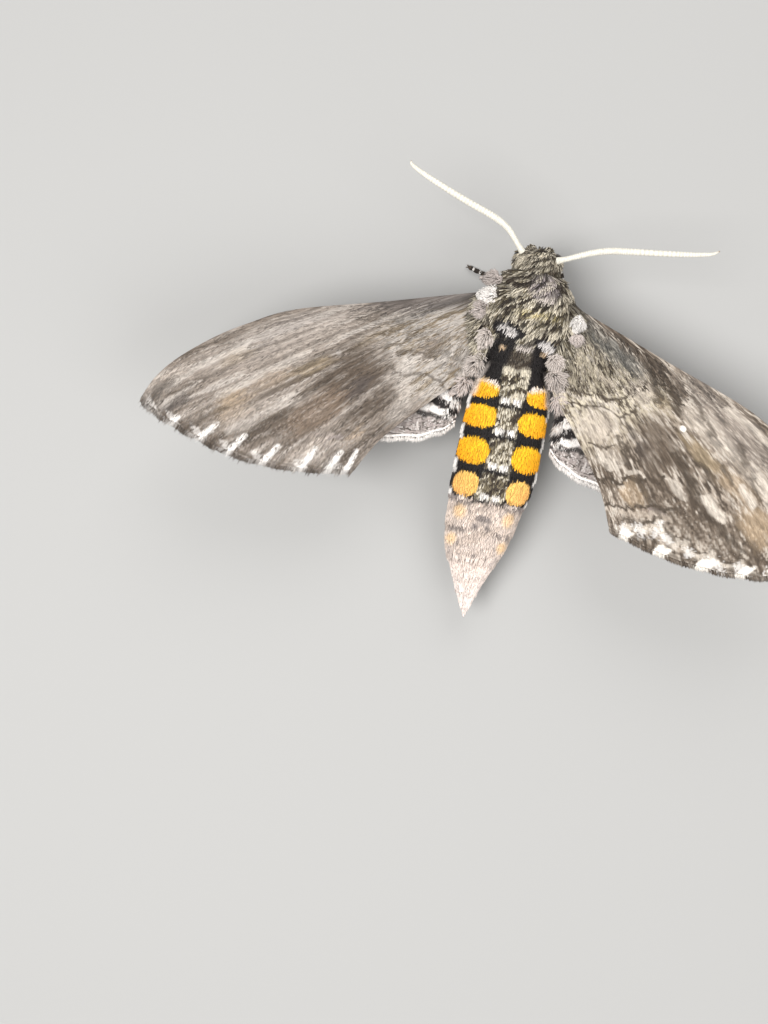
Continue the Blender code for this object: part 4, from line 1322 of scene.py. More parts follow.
    def check_at(self, across: Array, out: Array) -> Array:
        """1 in each white check of the fringe.

        Args:
            across: Places on the wing from 0 to 1.
            out: Places in the wing's own plane.

        Returns:
            One value a place.
        """
        found = np.zeros(len(across))
        for centre in self.checks:
            half = 0.5 if centre > 40 else 0.8
            found = np.maximum(found, stripe(out, centre, half, 0.14) * rise(across, 0.03, 0.06))
        return found

    def underside(self, shape: WingShape, across: Array, along: Array) -> Array:
        """The plainer grey-brown of the lower face.

        Args:
            shape: The wing.
            across, along: Places on the wing from 0 to 1.

        Returns:
            One colour a row.
        """
        out, _ = shape.plan(across, along).T
        found = blend(PAINT.bark * 1.2, PAINT.fawn * 0.95, noise(out * 0.5, across * 40, 9.0))
        found = over(found, PAINT.pearl * 0.9, 0.5 * (1 - rise(along, 0.0, 0.3)))
        tooth = np.abs(((across * 8.0 + 0.5) % 1.0) - 0.5) * 2
        for place, strength in ((0.7, 0.5), (0.78, 0.55), (0.9, 0.35)):
            found = over(found, PAINT.umber, strength * stripe(along, place - 0.03 * tooth, 0.007, 0.01))
        return over(found, PAINT.white, self.check_at(across, out) * rise(along, 0.95, 0.97))


@dataclass
class HindwingMarkings:
    """The hindwing's black bands on white and grey."""

    bands: tuple = (("black", 0.47, 0.045, 1.0), ("white", 0.585, 0.05, 0.9), ("black", 0.685, 0.045, 1.0),
                    ("white", 0.775, 0.03, 0.85), ("black", 0.832, 0.022, 0.9))

    def colours(self, shape: WingShape, across: Array, along: Array, dice: Array) -> Array:
        """The colour of the upper face at each place, from the same values as the forewing's.

        Args:
            shape: The wing; not used.
            across, along: Places on the wing from 0 to 1.
            dice: Three values from 0 to 1 for each place.

        Returns:
            One colour a row.
        """
        wave = noise(across * 13, along * 5, 41.0) - 0.5
        crinkle = noise(across * 56 + 3 * wave, along * 52, 42.0)
        streak = noise(across * 64, along * 7, 43.0)
        found = blend(PAINT.smoke * 1.1, PAINT.ivory, rise(streak + 0.3 * (dice[:, 0] - 0.5), 0.2, 0.75))
        inner = rise(across, 0.5, 0.68)
        slant = along + 0.6 * (0.9 - np.clip(across, 0.55, 1.0)) * inner + (1 - inner) * 0.16
        tooth = np.abs(((across * 7.0) % 1.0) - 0.5) * 2
        slant = slant - 0.03 * tooth - 0.05 * wave
        rays = rise(slant, 0.5, 0.6) * (1 - rise(along, 0.93, 0.96)) * rise(streak, 0.55, 0.66)
        mottle = rise(slant, 0.84, 0.88) * (1 - rise(along, 0.945, 0.96))
        found = layered(found, (PAINT.pearl, 0.85 * (1 - rise(along, 0.3, 0.44))),
                        (PAINT.black * 1.6, 0.7 * rays), (PAINT.smoke * 1.25, 0.6 * mottle),
                        (PAINT.umber * 0.7, 0.95 * mottle * stripe(crinkle, 0.52, 0.07, 0.03)),
                        (PAINT.white, 0.5 * mottle * stripe(crinkle, 0.36, 0.06, 0.05)))
        for paint, centre, half, strength in self.bands:
            grown = half * (0.7 + 0.6 * rise(streak, 0.2, 0.8))
            tone = getattr(PAINT, paint) * (1.3 if paint == "black" else 1.0)
            found = over(found, tone, strength * stripe(slant, centre, grown, 0.012))
        return over(found, PAINT.white, rise(along, 0.945, 0.955))

    def underside(self, shape: WingShape, across: Array, along: Array) -> Array:
        """The plainer pale grey of the lower face."""
        found = blend(PAINT.smoke, PAINT.pearl, noise(across * 50, along * 8, 47.0))
        return layered(found, (PAINT.umber, 0.6 * stripe(along, 0.6, 0.013, 0.012)),
                       (PAINT.umber, 0.5 * stripe(along, 0.72, 0.013, 0.012)),
                       (PAINT.white, rise(along, 0.96, 0.975)))


def spread(y_front: float, y_back: float, spacing: float, rng: np.random.Generator) -> tuple[Array, Array]:
    """Roots set evenly but not in rows over the skin between two places.

    Args:
        y_front, y_back: Where the stretch starts and ends.
        spacing: The mean distance between roots.
        rng: The seeded source of chance.

    Returns:
        Places along the body, and angles from -pi to pi.
    """
    ys, angles = [], []
    for y in np.arange(y_front, y_back, -spacing * 0.87):
        half, top, under = BODY.section(np.array([y]))[0]
        count = max(4, int(math.pi * (half + 0.5 * (top - under)) / spacing))
        turn = (np.arange(count) + rng.random(count)) / count * 2 * math.pi - math.pi
        angles.append(turn)
        ys.append(y + spacing * (rng.random(count) - 0.5) * 1.2)
    y_all = np.clip(np.concatenate(ys), TAIL + 0.05, BODY.sections[0][0] - 0.02)
    return y_all, np.concatenate(angles)


@dataclass
class Body:
    """Head, thorax and abdomen as one skin under a coat of locks."""

    rows: int = 190
    columns: int = 110
    # How far the skin's colours are darkened, as painted shade under the coat.
    skin_tone: float = 0.6
    seed: int = 20
    shown_at: float = 0.62
    mean_radius: float = 5.5
    face_front: float = 9.7

    def build(self) -> None:
        """Makes the skin and each stretch of its coat."""
        self.skin()
        self.head_coat()
        self.thorax_coat()
        self.abdomen_coat()
        self.tail_brush()

    def skin(self) -> None:
        """The one form under the coat."""
        front, back = BODY.sections[0][0], BODY.sections[-1][0]

        def place(u: Array, v: Array) -> Array:
            """A point of the skin, with both ends drawn to a pole.

            Args:
                u, v: Places round and along it, from 0 to 1.

            Returns:
                One point a row.
            """
            y = front + (back - front) * (v * v * (3 - 2 * v) * 0.35 + v * 0.65)
            points = BODY.point(y, u * 2 * math.pi - math.pi)
            _, top, under = BODY.section(y).T
            ends = (v < 1e-6) | (v > 1 - 1e-6)
            points[ends, 0] = BODY.sway(y)[ends]
            points[ends, 2] = (0.5 * (top + under))[ends]
            return points

        piece = shaped_grid("body_skin", self.columns, self.rows, place)
        points = STAND.own(read(piece.data.vertices, "co", 3))
        angle = places_on(piece)[0] * 2 * math.pi - math.pi
        dice = dice_at(points[:, 0] * 4, points[:, 1] * 1.5 + points[:, 2], 50.0)
        # The skin takes the coat's own colours, darkened as painted shade under the coat.
        set_tint(piece.data, self.skin_tone * BODY_MARKS.colours(points[:, 1], angle, dice))
        segments = [f"abdomen_{i}" for i in range(1, 8)]
        finish_piece(piece, BODY_PILE, "coat", "head", "collar", "thorax", "tegula_left", "tegula_right",
                     "abdomen_tip", *segments)

    def locks(self, y: Array, angle: Array, length: Array, width: Array, lift: Array,
              sway: Array, rng: np.random.Generator) -> Locks:
        """Locks rooted on the skin and lying towards the tail.

        Args:
            y, angle: Where each root is.
            length, width: Each lock's size in millimetres.
            lift: How steeply each stands, in degrees.
            sway: How far each leans round the body, as a share of its way back.
            rng: The seeded source of chance.

        Returns:
            The locks, in the body's colours.
        """
        here, normal, back = BODY.axes(y, angle)
        round_it = np.cross(normal, back)
        lie = unit(back + round_it * sway[:, None])
        reach = self.shown_at * length
        around = angle + reach * (lie * round_it).sum(axis=1) / self.mean_radius
        colours = BODY_MARKS.colours(y + reach * lie[:, 1], around, rng.random((len(y), 3)))
        return Locks(here, normal, lie, length, width, np.radians(lift), colours, BODY.map_of(y, angle))

    def dress(self, made: Locks, name: str, slot: str, root_shade: float, tip_shade: float) -> None:
        """Gives locks broad tips, darkens them towards the root as painted shade and lightens them at the tip
        as painted light, and makes a piece of them.

        Args:
            made: The locks.
            name, slot: The piece's name and material slot.
            root_shade, tip_shade: How bright the locks' ends are.
        """
        made.shoulder, made.shoulder_breadth = 0.88, 0.82
        made.root_shade, made.tip_shade = root_shade, tip_shade
        finish_piece(made.join(name), HAIR_SCALES, slot)

    def head_coat(self) -> None:
        """Short dense locks, longest on the crown and round the eyes, and combed down over the face."""
        rng = np.random.default_rng(self.seed)
        y, angle = spread(10.25, 6.2, 0.19, rng)
        here = BODY.point(y, angle)
        eye = ((here[:, 1] - EYE_CENTRE[1]) / 1.72) ** 2 + ((here[:, 2] - EYE_CENTRE[2]) / 1.82) ** 2
        keep = (eye >= 1.0) | (np.abs(here[:, 0]) <= 1.8)
        y, angle, here, eye = y[keep], angle[keep], here[keep], eye[keep]
        count = len(y)
        upward = np.cos(angle)
        length = (0.75 + 0.55 * rise(upward, 0.2, 0.8)) * (0.75 + 0.5 * rng.random(count))
        width = 0.15 + 0.07 * rng.random(count)
        lift = 10 + 12 * rng.random(count) + 20 * (BODY_MARKS.dashes(y, np.abs(angle), here[:, 0]) - 0.5)
        sway = 0.5 * (rng.random(count) - 0.5) - 0.4 * rise(upward, 0.3, 0.8)
        brow = stripe(eye, 1.35, 0.4, 0.2) * (here[:, 2] > EYE_CENTRE[2] + 0.3)
        nape = rise(-y, -7.9, -6.9) * (np.abs(angle) < 1.9)
        made = self.locks(y, angle, length + 0.5 * brow + 0.5 * nape, width, lift + 6 * brow + 8 * nape,
                          sway + 0.35 * brow * np.sign(angle) + 0.5 * nape * np.sin(angle), rng)
        face = y > self.face_front
        down = np.stack([0.3 * made.roots[:, 0], np.zeros(count), -np.ones(count)], axis=1)
        down += 0.3 * (rng.random((count, 3)) - 0.5)
        down -= made.normals * (down * made.normals).sum(axis=1, keepdims=True)
        made.lies[face] = unit(down)[face]
        made.lifts[face] *= 0.35
        made.lengths[face] *= 0.8
        # Locks along the parting between crown and face are painted lighter, so that their painted root shade
        # shows less.
        made.colours = made.colours * (1 + 0.6 * stripe(y, self.face_front, 0.35, 0.25))[:, None]
        self.dress(made, "head_coat", "coat", 0.45, 1.15)

    def thorax_coat(self) -> None:
        """Longer locks that sweep back over the collar, tegulae and wing roots."""
        rng = np.random.default_rng(self.seed + 1)
        y, angle = spread(6.5, -6.7, 0.24, rng)
        count = len(y)
        cover = BODY.tegula_cover(y, np.abs(angle))
        length = 1.2 * (0.75 + 0.5 * rng.random(count))
        length *= np.where(cover < 1.15, 1.1, 0.8) * (1 - 0.35 * rise(-y, 4.5, 6.5))
        width = 0.15 + 0.08 * rng.random(count) + 0.06 * (cover > 1.15)
        dashes = BODY_MARKS.dashes(y, np.abs(angle), BODY.point(y, angle)[:, 0])
        lift = np.maximum(8 + 10 * rng.random(count) + 22 * (dashes - 0.5), 3)
        sway = 0.4 * (rng.random(count) - 0.5) + 0.35 * np.sin(angle) * rise(y, 0, 4)
        sway = sway - 0.5 * rise(np.cos(angle), 0.1, 0.7) * rise(y, -5.2, -3.4)
        self.dress(self.locks(y, angle, length, width, lift, sway, rng), "thorax_coat", "coat", 0.5, 1.15)

    def abdomen_coat(self) -> None:
        """Short flat locks that end each ring in a ragged edge."""
        rng = np.random.default_rng(self.seed + 2)
        y, angle = spread(-6.6, -36.4, 0.29, rng)
        count = len(y)
        length = 0.7 * (0.8 + 0.4 * rng.random(count))
        width = 0.2 + 0.08 * rng.random(count)
        lift = 3 + 6 * rng.random(count) + 10 * stripe(np.abs(angle), 1.5, 0.2, 0.15)
        sway = 0.22 * (rng.random(count) - 0.5)
        coat = self.locks(y, angle, length, width, lift, sway, rng)
        self.dress(coat, "abdomen_coat", "abdomen", 0.74, 1.08)

    def tail_brush(self) -> None:
        """Longer pale locks that close to a pointed brush."""
        rng = np.random.default_rng(self.seed + 3)
        y, angle = spread(-35.8, -45.3, 0.24, rng)
        count = len(y)
        length = np.minimum(1.7 * (0.75 + 0.5 * rng.random(count)), -TAIL + y + 0.9)
        width = 0.18 + 0.08 * rng.random(count)
        lift = 3 + 5 * rng.random(count)
        sway = 0.15 * (rng.random(count) - 0.5)
        self.dress(self.locks(y, angle, length, width, lift, sway, rng), "tail_brush", "abdomen", 0.84, 1.08)


EYE_CENTRE = (2.55, 8.6, 9.7)
EYE_REACH = (1.25, 1.75, 1.85)


@dataclass(frozen=True)
class Tuft:
    """A puff of hair.

    Its middle, its reach along its lie, across and up, its count of locks, their length, the colour's name,
    the way it lies, the colour's tone and the sides that have it.
    """

    middle: tuple
    reach: tuple
    count: int
    length: float
    paint: str
    lie: tuple
    tone: float
    sides: tuple = (Side.LEFT, Side.RIGHT)


@dataclass
class RootHair:
    """Long hair that runs from the thorax out over the wings, and the pale puffs among it."""

    puffs: tuple = (
        Tuft((7.4, 0.3, 13.7), (1.3, 1.15, 0.9), 420, 0.8, "white", (0.3, -0.95), 0.78, (Side.RIGHT,)),
        Tuft((7.7, -1.8, 13.6), (1.0, 0.9, 0.6), 260, 0.8, "pale", (0.3, -0.95), 0.66, (Side.RIGHT,)),
        Tuft((5.9, 4.7, 13.1), (1.8, 1.0, 0.8), 420, 1.0, "pale", (-0.99, -0.1), 0.5, (Side.LEFT,)),
        Tuft((5.9, 2.1, 14.1), (2.4, 1.1, 1.0), 620, 1.0, "white", (-0.99, -0.1), 0.84, (Side.LEFT,)),
        Tuft((6.7, 0.0, 13.7), (1.9, 1.0, 0.6), 320, 1.1, "pale", (-0.96, -0.28), 0.52, (Side.LEFT,)),
        Tuft((5.3, -3.9, 13.5), (1.9, 1.1, 0.6), 360, 1.2, "blush", (-0.3, -0.95), 0.72, (Side.LEFT,)),
        Tuft((5.4, -5.5, 13.3), (1.7, 1.0, 0.55), 360, 1.2, "blush", (0.3, -0.95), 0.72, (Side.RIGHT,)),
        Tuft((6.2, -8.0, 12.4), (2.6, 1.0, 0.55), 420, 1.5, "blush", (0.6, -0.8), 0.66),
        Tuft((7.5, -11.0, 11.5), (2.2, 1.0, 0.5), 340, 1.5, "pale", (0.6, -0.8), 0.64),
    )
    strands: int = 1700
    wing_top: float = 12.75
    seed: int = 40

    def build(self) -> None:
        """Makes the hair of each side."""
        for side in Side:
            rng = np.random.default_rng(self.seed + side.value)
            for name, make in (("root_hair", self.drape), ("root_puffs", self.puff_locks)):
                finish_piece(make(side, rng).join(f"{name}_{side.word}"), HAIR_SCALES, "coat")

    def drape(self, side: Side, rng: np.random.Generator) -> Locks:
        """Strands from the side of the thorax that hang out and back over the wing's root.

        Args:
            side: The side that it is on.
            rng: The seeded source of chance.

        Returns:
            The locks.
        """
        count = self.strands
        y = 3.4 - 8.4 * rng.random(count)
        angle = side.value * np.radians(56 + 26 * rng.random(count))
        here, _, _ = BODY.axes(y, angle)
        here[:, 2] = np.maximum(here[:, 2], self.wing_top)
        turn = np.radians(28 + 34 * rng.random(count) + 18 * rise(-y, 0, 5))
        fall = -0.1 + 0.05 * rng.random(count)
        lie = unit(np.stack([side.value * np.cos(turn), -np.sin(turn), fall], axis=1))
        length = 2.3 * (0.7 + 0.6 * rng.random(count))
        width = 0.15 + 0.09 * rng.random(count)
        clump = noise(y * 2.4, np.degrees(turn) * 0.12, 17.0)
        lift = np.radians(1 + 5 * rng.random(count) + 6 * clump)
        # The clumps are painted lighter on their crests and darker between them, as painted light and shade.
        colours = BODY_MARKS.ripple(BODY_MARKS.streaks(rng.random((count, 3)), (5, 3, 1.6)), clump, 0.6)
        up = np.broadcast_to(UP, lie.shape)
        return Locks(here, up, lie, length, width, lift, colours, BODY.map_of(y, angle))

    def puff(self, puff: Tuft, side: Side, rng: np.random.Generator) -> tuple:
        """One pale puff.

        Args:
            puff: Its place and size.
            side: The side that it is on.
            rng: The seeded source of chance.

        Returns:
            The roots, normals, lies, lengths and colours of its locks.
        """
        count = puff.count
        turn = 2 * math.pi * rng.random(count)
        height = rng.random(count) ** 0.8
        level = np.sqrt(1 - height ** 2)
        ball = np.stack([np.cos(turn) * level, np.sin(turn) * level, height], axis=1) * puff.reach
        mirror = side.value if len(puff.sides) == len(Side) else 1
        way = np.array((puff.lie[0] * mirror, puff.lie[1], -0.1))
        ball = ball[:, :1] * way + ball[:, 1:2] * (-way[1], way[0], 0.0) + ball[:, 2:] * UP
        way = way + 0.25 * ball * (1, 1, 0) + 0.3 * (rng.random((count, 3)) - 0.5)
        outward = unit(unit(ball) + (0, 0, 0.3))
        lie = way - outward * (way * outward).sum(axis=1, keepdims=True)
        clear = np.clip(np.linalg.norm(lie, axis=1) / 0.7, 0.35, 1.0)
        middle = np.array(puff.middle) * (side.value, 1, 1)
        lobes = 0.5 + 0.5 * noise(1.6 * ball[:, 0] + middle[1], 1.6 * ball[:, 1] + middle[0], 18.0)[:, None]
        lengths = puff.length * clear * (0.7 + 0.6 * rng.random(count))
        colours = getattr(PAINT, puff.paint) * puff.tone * (0.92 + 0.16 * rng.random((count, 1)))
        return middle + ball * lobes, outward, unit(lie), lengths, colours

    def puff_locks(self, side: Side, rng: np.random.Generator) -> Locks:
        """The pale puffs of one side as one set of locks.

        Args:
            side: The side that it is on.
            rng: The seeded source of chance.

        Returns:
            The locks.
        """
        parts = [self.puff(puff, side, rng) for puff in self.puffs if side in puff.sides]
        roots, normals, lies, lengths, colours = (np.concatenate(part) for part in zip(*parts))
        count = len(roots)
        maps = BODY.map_of(roots[:, 1], np.arctan2(roots[:, 0], roots[:, 2] - 9.0))
        return Locks(roots, normals, lies, lengths, 0.22 + 0.1 * rng.random(count),
                     np.radians(3 + 9 * rng.random(count)), colours, maps, root_shade=1.02, tip_shade=1.0)


@dataclass
class Wing:
    """A wing: its membrane with raised veins, its scales and its fringe."""

    shape: WingShape
    marks: ForewingMarkings | HindwingMarkings
    kind: str
    columns: int
    rows: int
    scale_count: int
    fringe_count: int
    edge: float = 0.982
    membrane: float = 0.16
    vein_rise: float = 0.24
    seed: int = 60

    def build(self) -> None:
        """Makes the membrane, its scales and its fringe."""
        self.skin()
        self.scales()
        self.fringe()

    def name(self, what: str) -> str:
        """A piece's name on this wing."""
        return f"{self.kind}_{what}_{self.shape.side.word}"

    def skin(self) -> None:
        """The membrane, thicker along its veins and near its root."""
        piece = shaped_grid(self.name("membrane"), self.columns, self.rows,
                            lambda u, v: self.shape.point(u, v * self.edge), closed=False)
        if sum(face.normal.z for face in piece.data.polygons) < 0:
            piece.data.flip_normals()
        u, v = places_on(piece)
        thick = np.full(len(u), self.membrane)
        for across, start in self.shape.veins:
            grown = rise(v, start, start + 0.12) * (1 - 0.5 * v)
            thick += self.vein_rise * grown * (1 - rise(np.abs(u - across), 0.002, 0.007))
        thick += 0.25 * (1 - rise(v, 0.0, 0.2))
        full = float(thick.max())
        levels = np.round(thick / full, 3)
        group = piece.vertex_groups.new(name="thick")
        for level in np.unique(levels):
            group.add(np.nonzero(levels == level)[0].tolist(), float(level), "REPLACE")
        wall = piece.modifiers.new("wall", "SOLIDIFY")
        wall.thickness = full * MM
        wall.offset = 0.0
        wall.vertex_group = group.name
        bpy.context.view_layer.objects.active = piece
        bpy.ops.object.modifier_apply(modifier=wall.name)
        u, v = places_on(piece)
        v = v * self.edge
        upper = self.marks.colours(self.shape, u, v, dice_at(u * 90, v * 60, 70.0))
        lower = self.marks.underside(self.shape, u, v)
        set_tint(piece.data, blend(lower, upper, rise(normals_of(piece)[:, 2], -0.05, 0.05)))
        finish_piece(piece, WING_SCALES, self.kind, f"{self.kind}_{self.shape.side.word}")

    def locks_at(self, across: Array, along: Array, length: Array, width: Array,
                 lift: Array, sway: Array, dice: Array, above: float = 0.0) -> Locks:
        """Scales rooted on the upper face and lying out along the wing.

        Args:
            across, along: Where each root is.
            length, width: Each scale's size in millimetres.
            lift: How steeply each stands, in degrees.
            sway: How far each leans towards the rear edge.
            dice: Three values from 0 to 1 for each scale.
            above: How far the roots sit over the wing's middle surface.

        Returns:
            The scales, in the wing's colours.
        """
        here, normal, out = self.shape.axes(across, along)
        rear = np.cross(normal, out)
        rear *= -np.sign(rear[:, 1:2])
        colours = self.marks.colours(self.shape, across, along, dice)
        vary = 0.6 * np.clip(1.15 - colours.mean(axis=1, keepdims=True) * 1.5, 0.1, 1.0)
        maps = np.stack([0.02 + 0.96 * across, 0.02 + 0.96 * along / 1.02], axis=1)
        # The wing scales get painted shade at the root and painted light at the tip.
        return Locks(here + normal * above, normal, unit(out + rear * sway[:, None]), length, width,
                     np.radians(lift), colours * (1 + vary * (dice[:, 2:3] ** 1.2 - 0.5)), maps, spans=1,
                     root_shade=0.8, tip_shade=1.04, thick=0.12)

    def scales(self) -> None:
        """Fine flat scales over the upper face, hairier near the body and longest where blurred."""
        rng = np.random.default_rng(self.seed + self.shape.side.value)
        count = self.scale_count
        along = 0.02 + 0.95 * rng.random(count) ** 0.75
        across = 0.01 + 0.98 * rng.random(count)
        near = 1 - rise(along, 0.06, 0.34)
        if self.kind == "hindwing":
            near = np.maximum(near, 0.8 * rise(across, 0.86, 0.97) * (1 - rise(along, 0.7, 0.95)))
        blurred = self.kind == "forewing" and self.shape.side is Side.LEFT
        size, hairy, steep, aside = (1.5, 0.5, 2, 0.2) if blurred else (0.75, 0.9, 9, 0.5)
        length = (size + hairy * near) * (0.7 + 0.6 * rng.random(count))
        width = 0.12 + 0.05 * rng.random(count) + 0.03 * near
        lift = 2 + 3 * rng.random(count) + steep * near
        sway = 0.06 + 0.3 * (rng.random(count) - 0.5) + aside * near
        made = self.locks_at(across, along, length, width, lift, sway, rng.random((count, 3)),
                             0.5 * self.membrane - 0.03)
        finish_piece(made.join(self.name("scales")), HAIR_SCALES, self.kind)

    def fringe(self) -> None:
        """Fine scales all along the outer edge, white in the checks."""
        rng = np.random.default_rng(self.seed + 7 + self.shape.side.value)
        count = self.fringe_count
        across = np.tile(np.linspace(0.004, 0.996, count // 3), 3) + 0.002 * (rng.random(count) - 0.5)
        across = np.clip(across, 0.001, 0.999)
        along = self.edge - 0.008 + 0.006 * rng.random(count)
        length = 0.95 * (0.75 + 0.4 * rng.random(count))
        width = 0.16 + 0.1 * rng.random(count)
        lift = -4 + 8 * rng.random(count)
        sway = 0.25 * (rng.random(count) - 0.5)
        made = self.locks_at(across, along, length, width, lift, sway, rng.random((count, 3)))
        edge_out = self.marks.colours(self.shape, across, np.full(count, 0.99), rng.random((count, 3)))
        made.colours = edge_out * (0.85 + 0.25 * rng.random((count, 1)))
        finish_piece(made.join(self.name("fringe")), HAIR_SCALES, self.kind)


@dataclass
class Tube:
    """A closed tapered tube along a smooth line.

    The points that its line passes, how thick it is at even steps along it, how many rings it has, how
    deep the grooves between them are as a share of its thickness, how sharp they are, how far to each side
    its direction is read, how soon its ends close, a fixed way aside and a height that it doesn't go below.
    """

    bends: Array
    radii: tuple
    rings: int = 0
    groove: float = 0.0
    sharpness: int = 4
    step: float = 0.01
    closing: float = 0.0
    aside: tuple | None = None
    floor: float | None = None

    def frame(self, v: Array, up: tuple | None = None) -> tuple:
        """The middle of the tube at each place, with its ways ahead, aside and up.

        Args:
            v: Places along it, from 0 to 1.
            up: A way that its aside stays square to.

        Returns:
            The middle and the three unit ways, one a row.
        """
        before, after = np.maximum(v - self.step, 0), np.minimum(v + self.step, 1)
        ahead = unit(smooth(self.bends, after) - smooth(self.bends, before))
        if up is None:
            up = (1.0, 0.0, 0.0) if np.abs(ahead[:, 2]).max() > 0.97 else UP
        side = np.broadcast_to(self.aside, ahead.shape) if self.aside else unit(np.cross(ahead, up))
        return smooth(self.bends, v), ahead, side, np.cross(side, ahead)

    def radius(self, v: Array) -> Array:
        """How thick the tube is at each place, without its rings and ends."""
        return smooth(np.array(self.radii)[:, None], v)[:, 0]

    def wall(self, u: Array, v: Array) -> Array:
        """A point of the tube's wall.

        Args:
            u, v: Places round and along it, from 0 to 1.

        Returns:
            One point a row.
        """
        middle, _, side, top = self.frame(v)
        radius = self.radius(v)
        if self.rings:
            wave = 0.5 + 0.5 * np.cos(2 * math.pi * self.rings * v)
            radius = radius * (1 - self.groove * wave ** self.sharpness)
        ends = np.minimum(v, 1 - v) * (self.closing or len(self.bends) * 6)
        radius = radius * np.sqrt(1 - np.clip(1 - ends, 0, 1) ** 2)
        turn = u * 2 * math.pi
        found = middle + side * (radius * np.cos(turn))[:, None] + top * (radius * np.sin(turn))[:, None]
        if self.floor is not None:
            found[:, 2] = np.maximum(found[:, 2], self.floor)
        return found

    def grid(self, name: str, rows: int, columns: int) -> bpy.types.Object:
        """The tube's wall as a piece, with its cells along and round it."""
        return shaped_grid(name, columns, rows, self.wall)

    def locks(self, count: int, length: float, width: float, lift: float, rng: np.random.Generator,
              colour: Callable, start: float = 0.03, end: float = 0.95) -> Locks:
        """Locks that lie along the tube towards its tip.

        Args:
            count: How many locks it has.
            length, width, lift: Their mean sizes, and how steeply they stand in degrees.
            rng: The seeded source of chance.
            colour: Gives colours from places along the tube and dice.
            start, end: The stretch that they cover.

        Returns:
            The locks.
        """
        v = start + (end - start) * rng.random(count)
        turn = 2 * math.pi * rng.random(count)
        middle, ahead, side, top = self.frame(v, (0.31, 0.17, 0.94))
        normal = side * np.cos(turn)[:, None] + top * np.sin(turn)[:, None]
        roots = middle + normal * self.radius(v)[:, None] * 0.97
        sizes = length * (0.7 + 0.6 * rng.random(count))
        widths = width * (0.8 + 0.4 * rng.random(count))
        lifts = np.radians(lift * (0.5 + rng.random(count)))
        maps = np.stack([0.02 + 0.96 * turn / (2 * math.pi), 0.02 + 0.96 * v], axis=1)
        colours = colour(v, rng.random((count, 3)))
        return Locks(roots, normal, ahead, sizes, widths, lifts, colours, maps, spans=1)


@dataclass
class Antennae:
    """The two ringed white feelers."""

    bends: tuple = (
        (Side.LEFT, ((-2.35, 9.0, 13.0), (-3.4, 10.1, 13.4), (-5.2, 11.9, 13.8), (-7.5, 13.1, 14.1),
                     (-12.5, 14.8, 14.6), (-17.6, 16.8, 15.0), (-20.1, 18.0, 15.1), (-20.6, 18.7, 15.0))),
        (Side.RIGHT, ((2.5, 8.6, 13.2), (4.0, 9.1, 13.55), (7.0, 10.3, 13.9), (9.6, 11.0, 14.2),
                      (12.5, 11.3, 14.6), (18.8, 11.9, 15.1), (22.8, 12.5, 15.3), (24.2, 13.2, 15.2))),
    )
    radii: tuple = (0.55, 0.4, 0.46, 0.5, 0.48, 0.4, 0.28, 0.1)
    rings: int = 78

    def build(self) -> None:
        """Makes both feelers."""
        for side, bends in self.bends:
            tube = Tube(np.array(bends), self.radii, self.rings, 0.11)
            piece = tube.grid(f"feeler_{side.word}", self.rings * 6, 14)
            _, v = places_on(piece)
            ring = 0.5 + 0.5 * np.cos(2 * math.pi * self.rings * v)
            colour = layered(np.broadcast_to(PAINT.feeler, (len(v), 3)), (PAINT.feeler_ring, 0.5 * ring ** 4),
                             (PAINT.feeler_below, 0.7 * rise(-normals_of(piece)[:, 2], 0.2, 0.7)),
                             (PAINT.feeler_tip, rise(v, 0.95, 1.0)))
            set_tint(piece.data, colour)
            finish_piece(piece, FEELER_SCALES, "feeler", f"antenna_{side.word}")


@dataclass
class Eyes:
    """The two dark faceted eyes."""

    segments: int = 48
    rings: int = 32

    def build(self) -> None:
        """Makes both eyes."""
        for side in Side:
            bpy.ops.object.select_all(action="DESELECT")
            centre = STAND.vector(side.value * EYE_CENTRE[0], *EYE_CENTRE[1:])
            bpy.ops.mesh.primitive_uv_sphere_add(segments=self.segments, ring_count=self.rings, radius=MM,
                                                 location=centre, rotation=(0, math.radians(90), 0))
            eye = bpy.context.object
            eye.name = f"compound_eye_{side.word}"
            eye.scale = EYE_REACH[::-1]
            bpy.ops.object.transform_apply(location=True, rotation=True, scale=True)
            bpy.ops.object.shade_smooth()
            points = STAND.own(read(eye.data.vertices, "co", 3))
            patch = rise(noise(points[:, 1] * 1.1, points[:, 2] * 1.1, 4.0), 0.4, 0.6)
            set_tint(eye.data, blend(PAINT.eye_brown, PAINT.eye_dark, patch))
            finish_piece(eye, FACETED_EYE, "eye", f"eye_{side.word}")


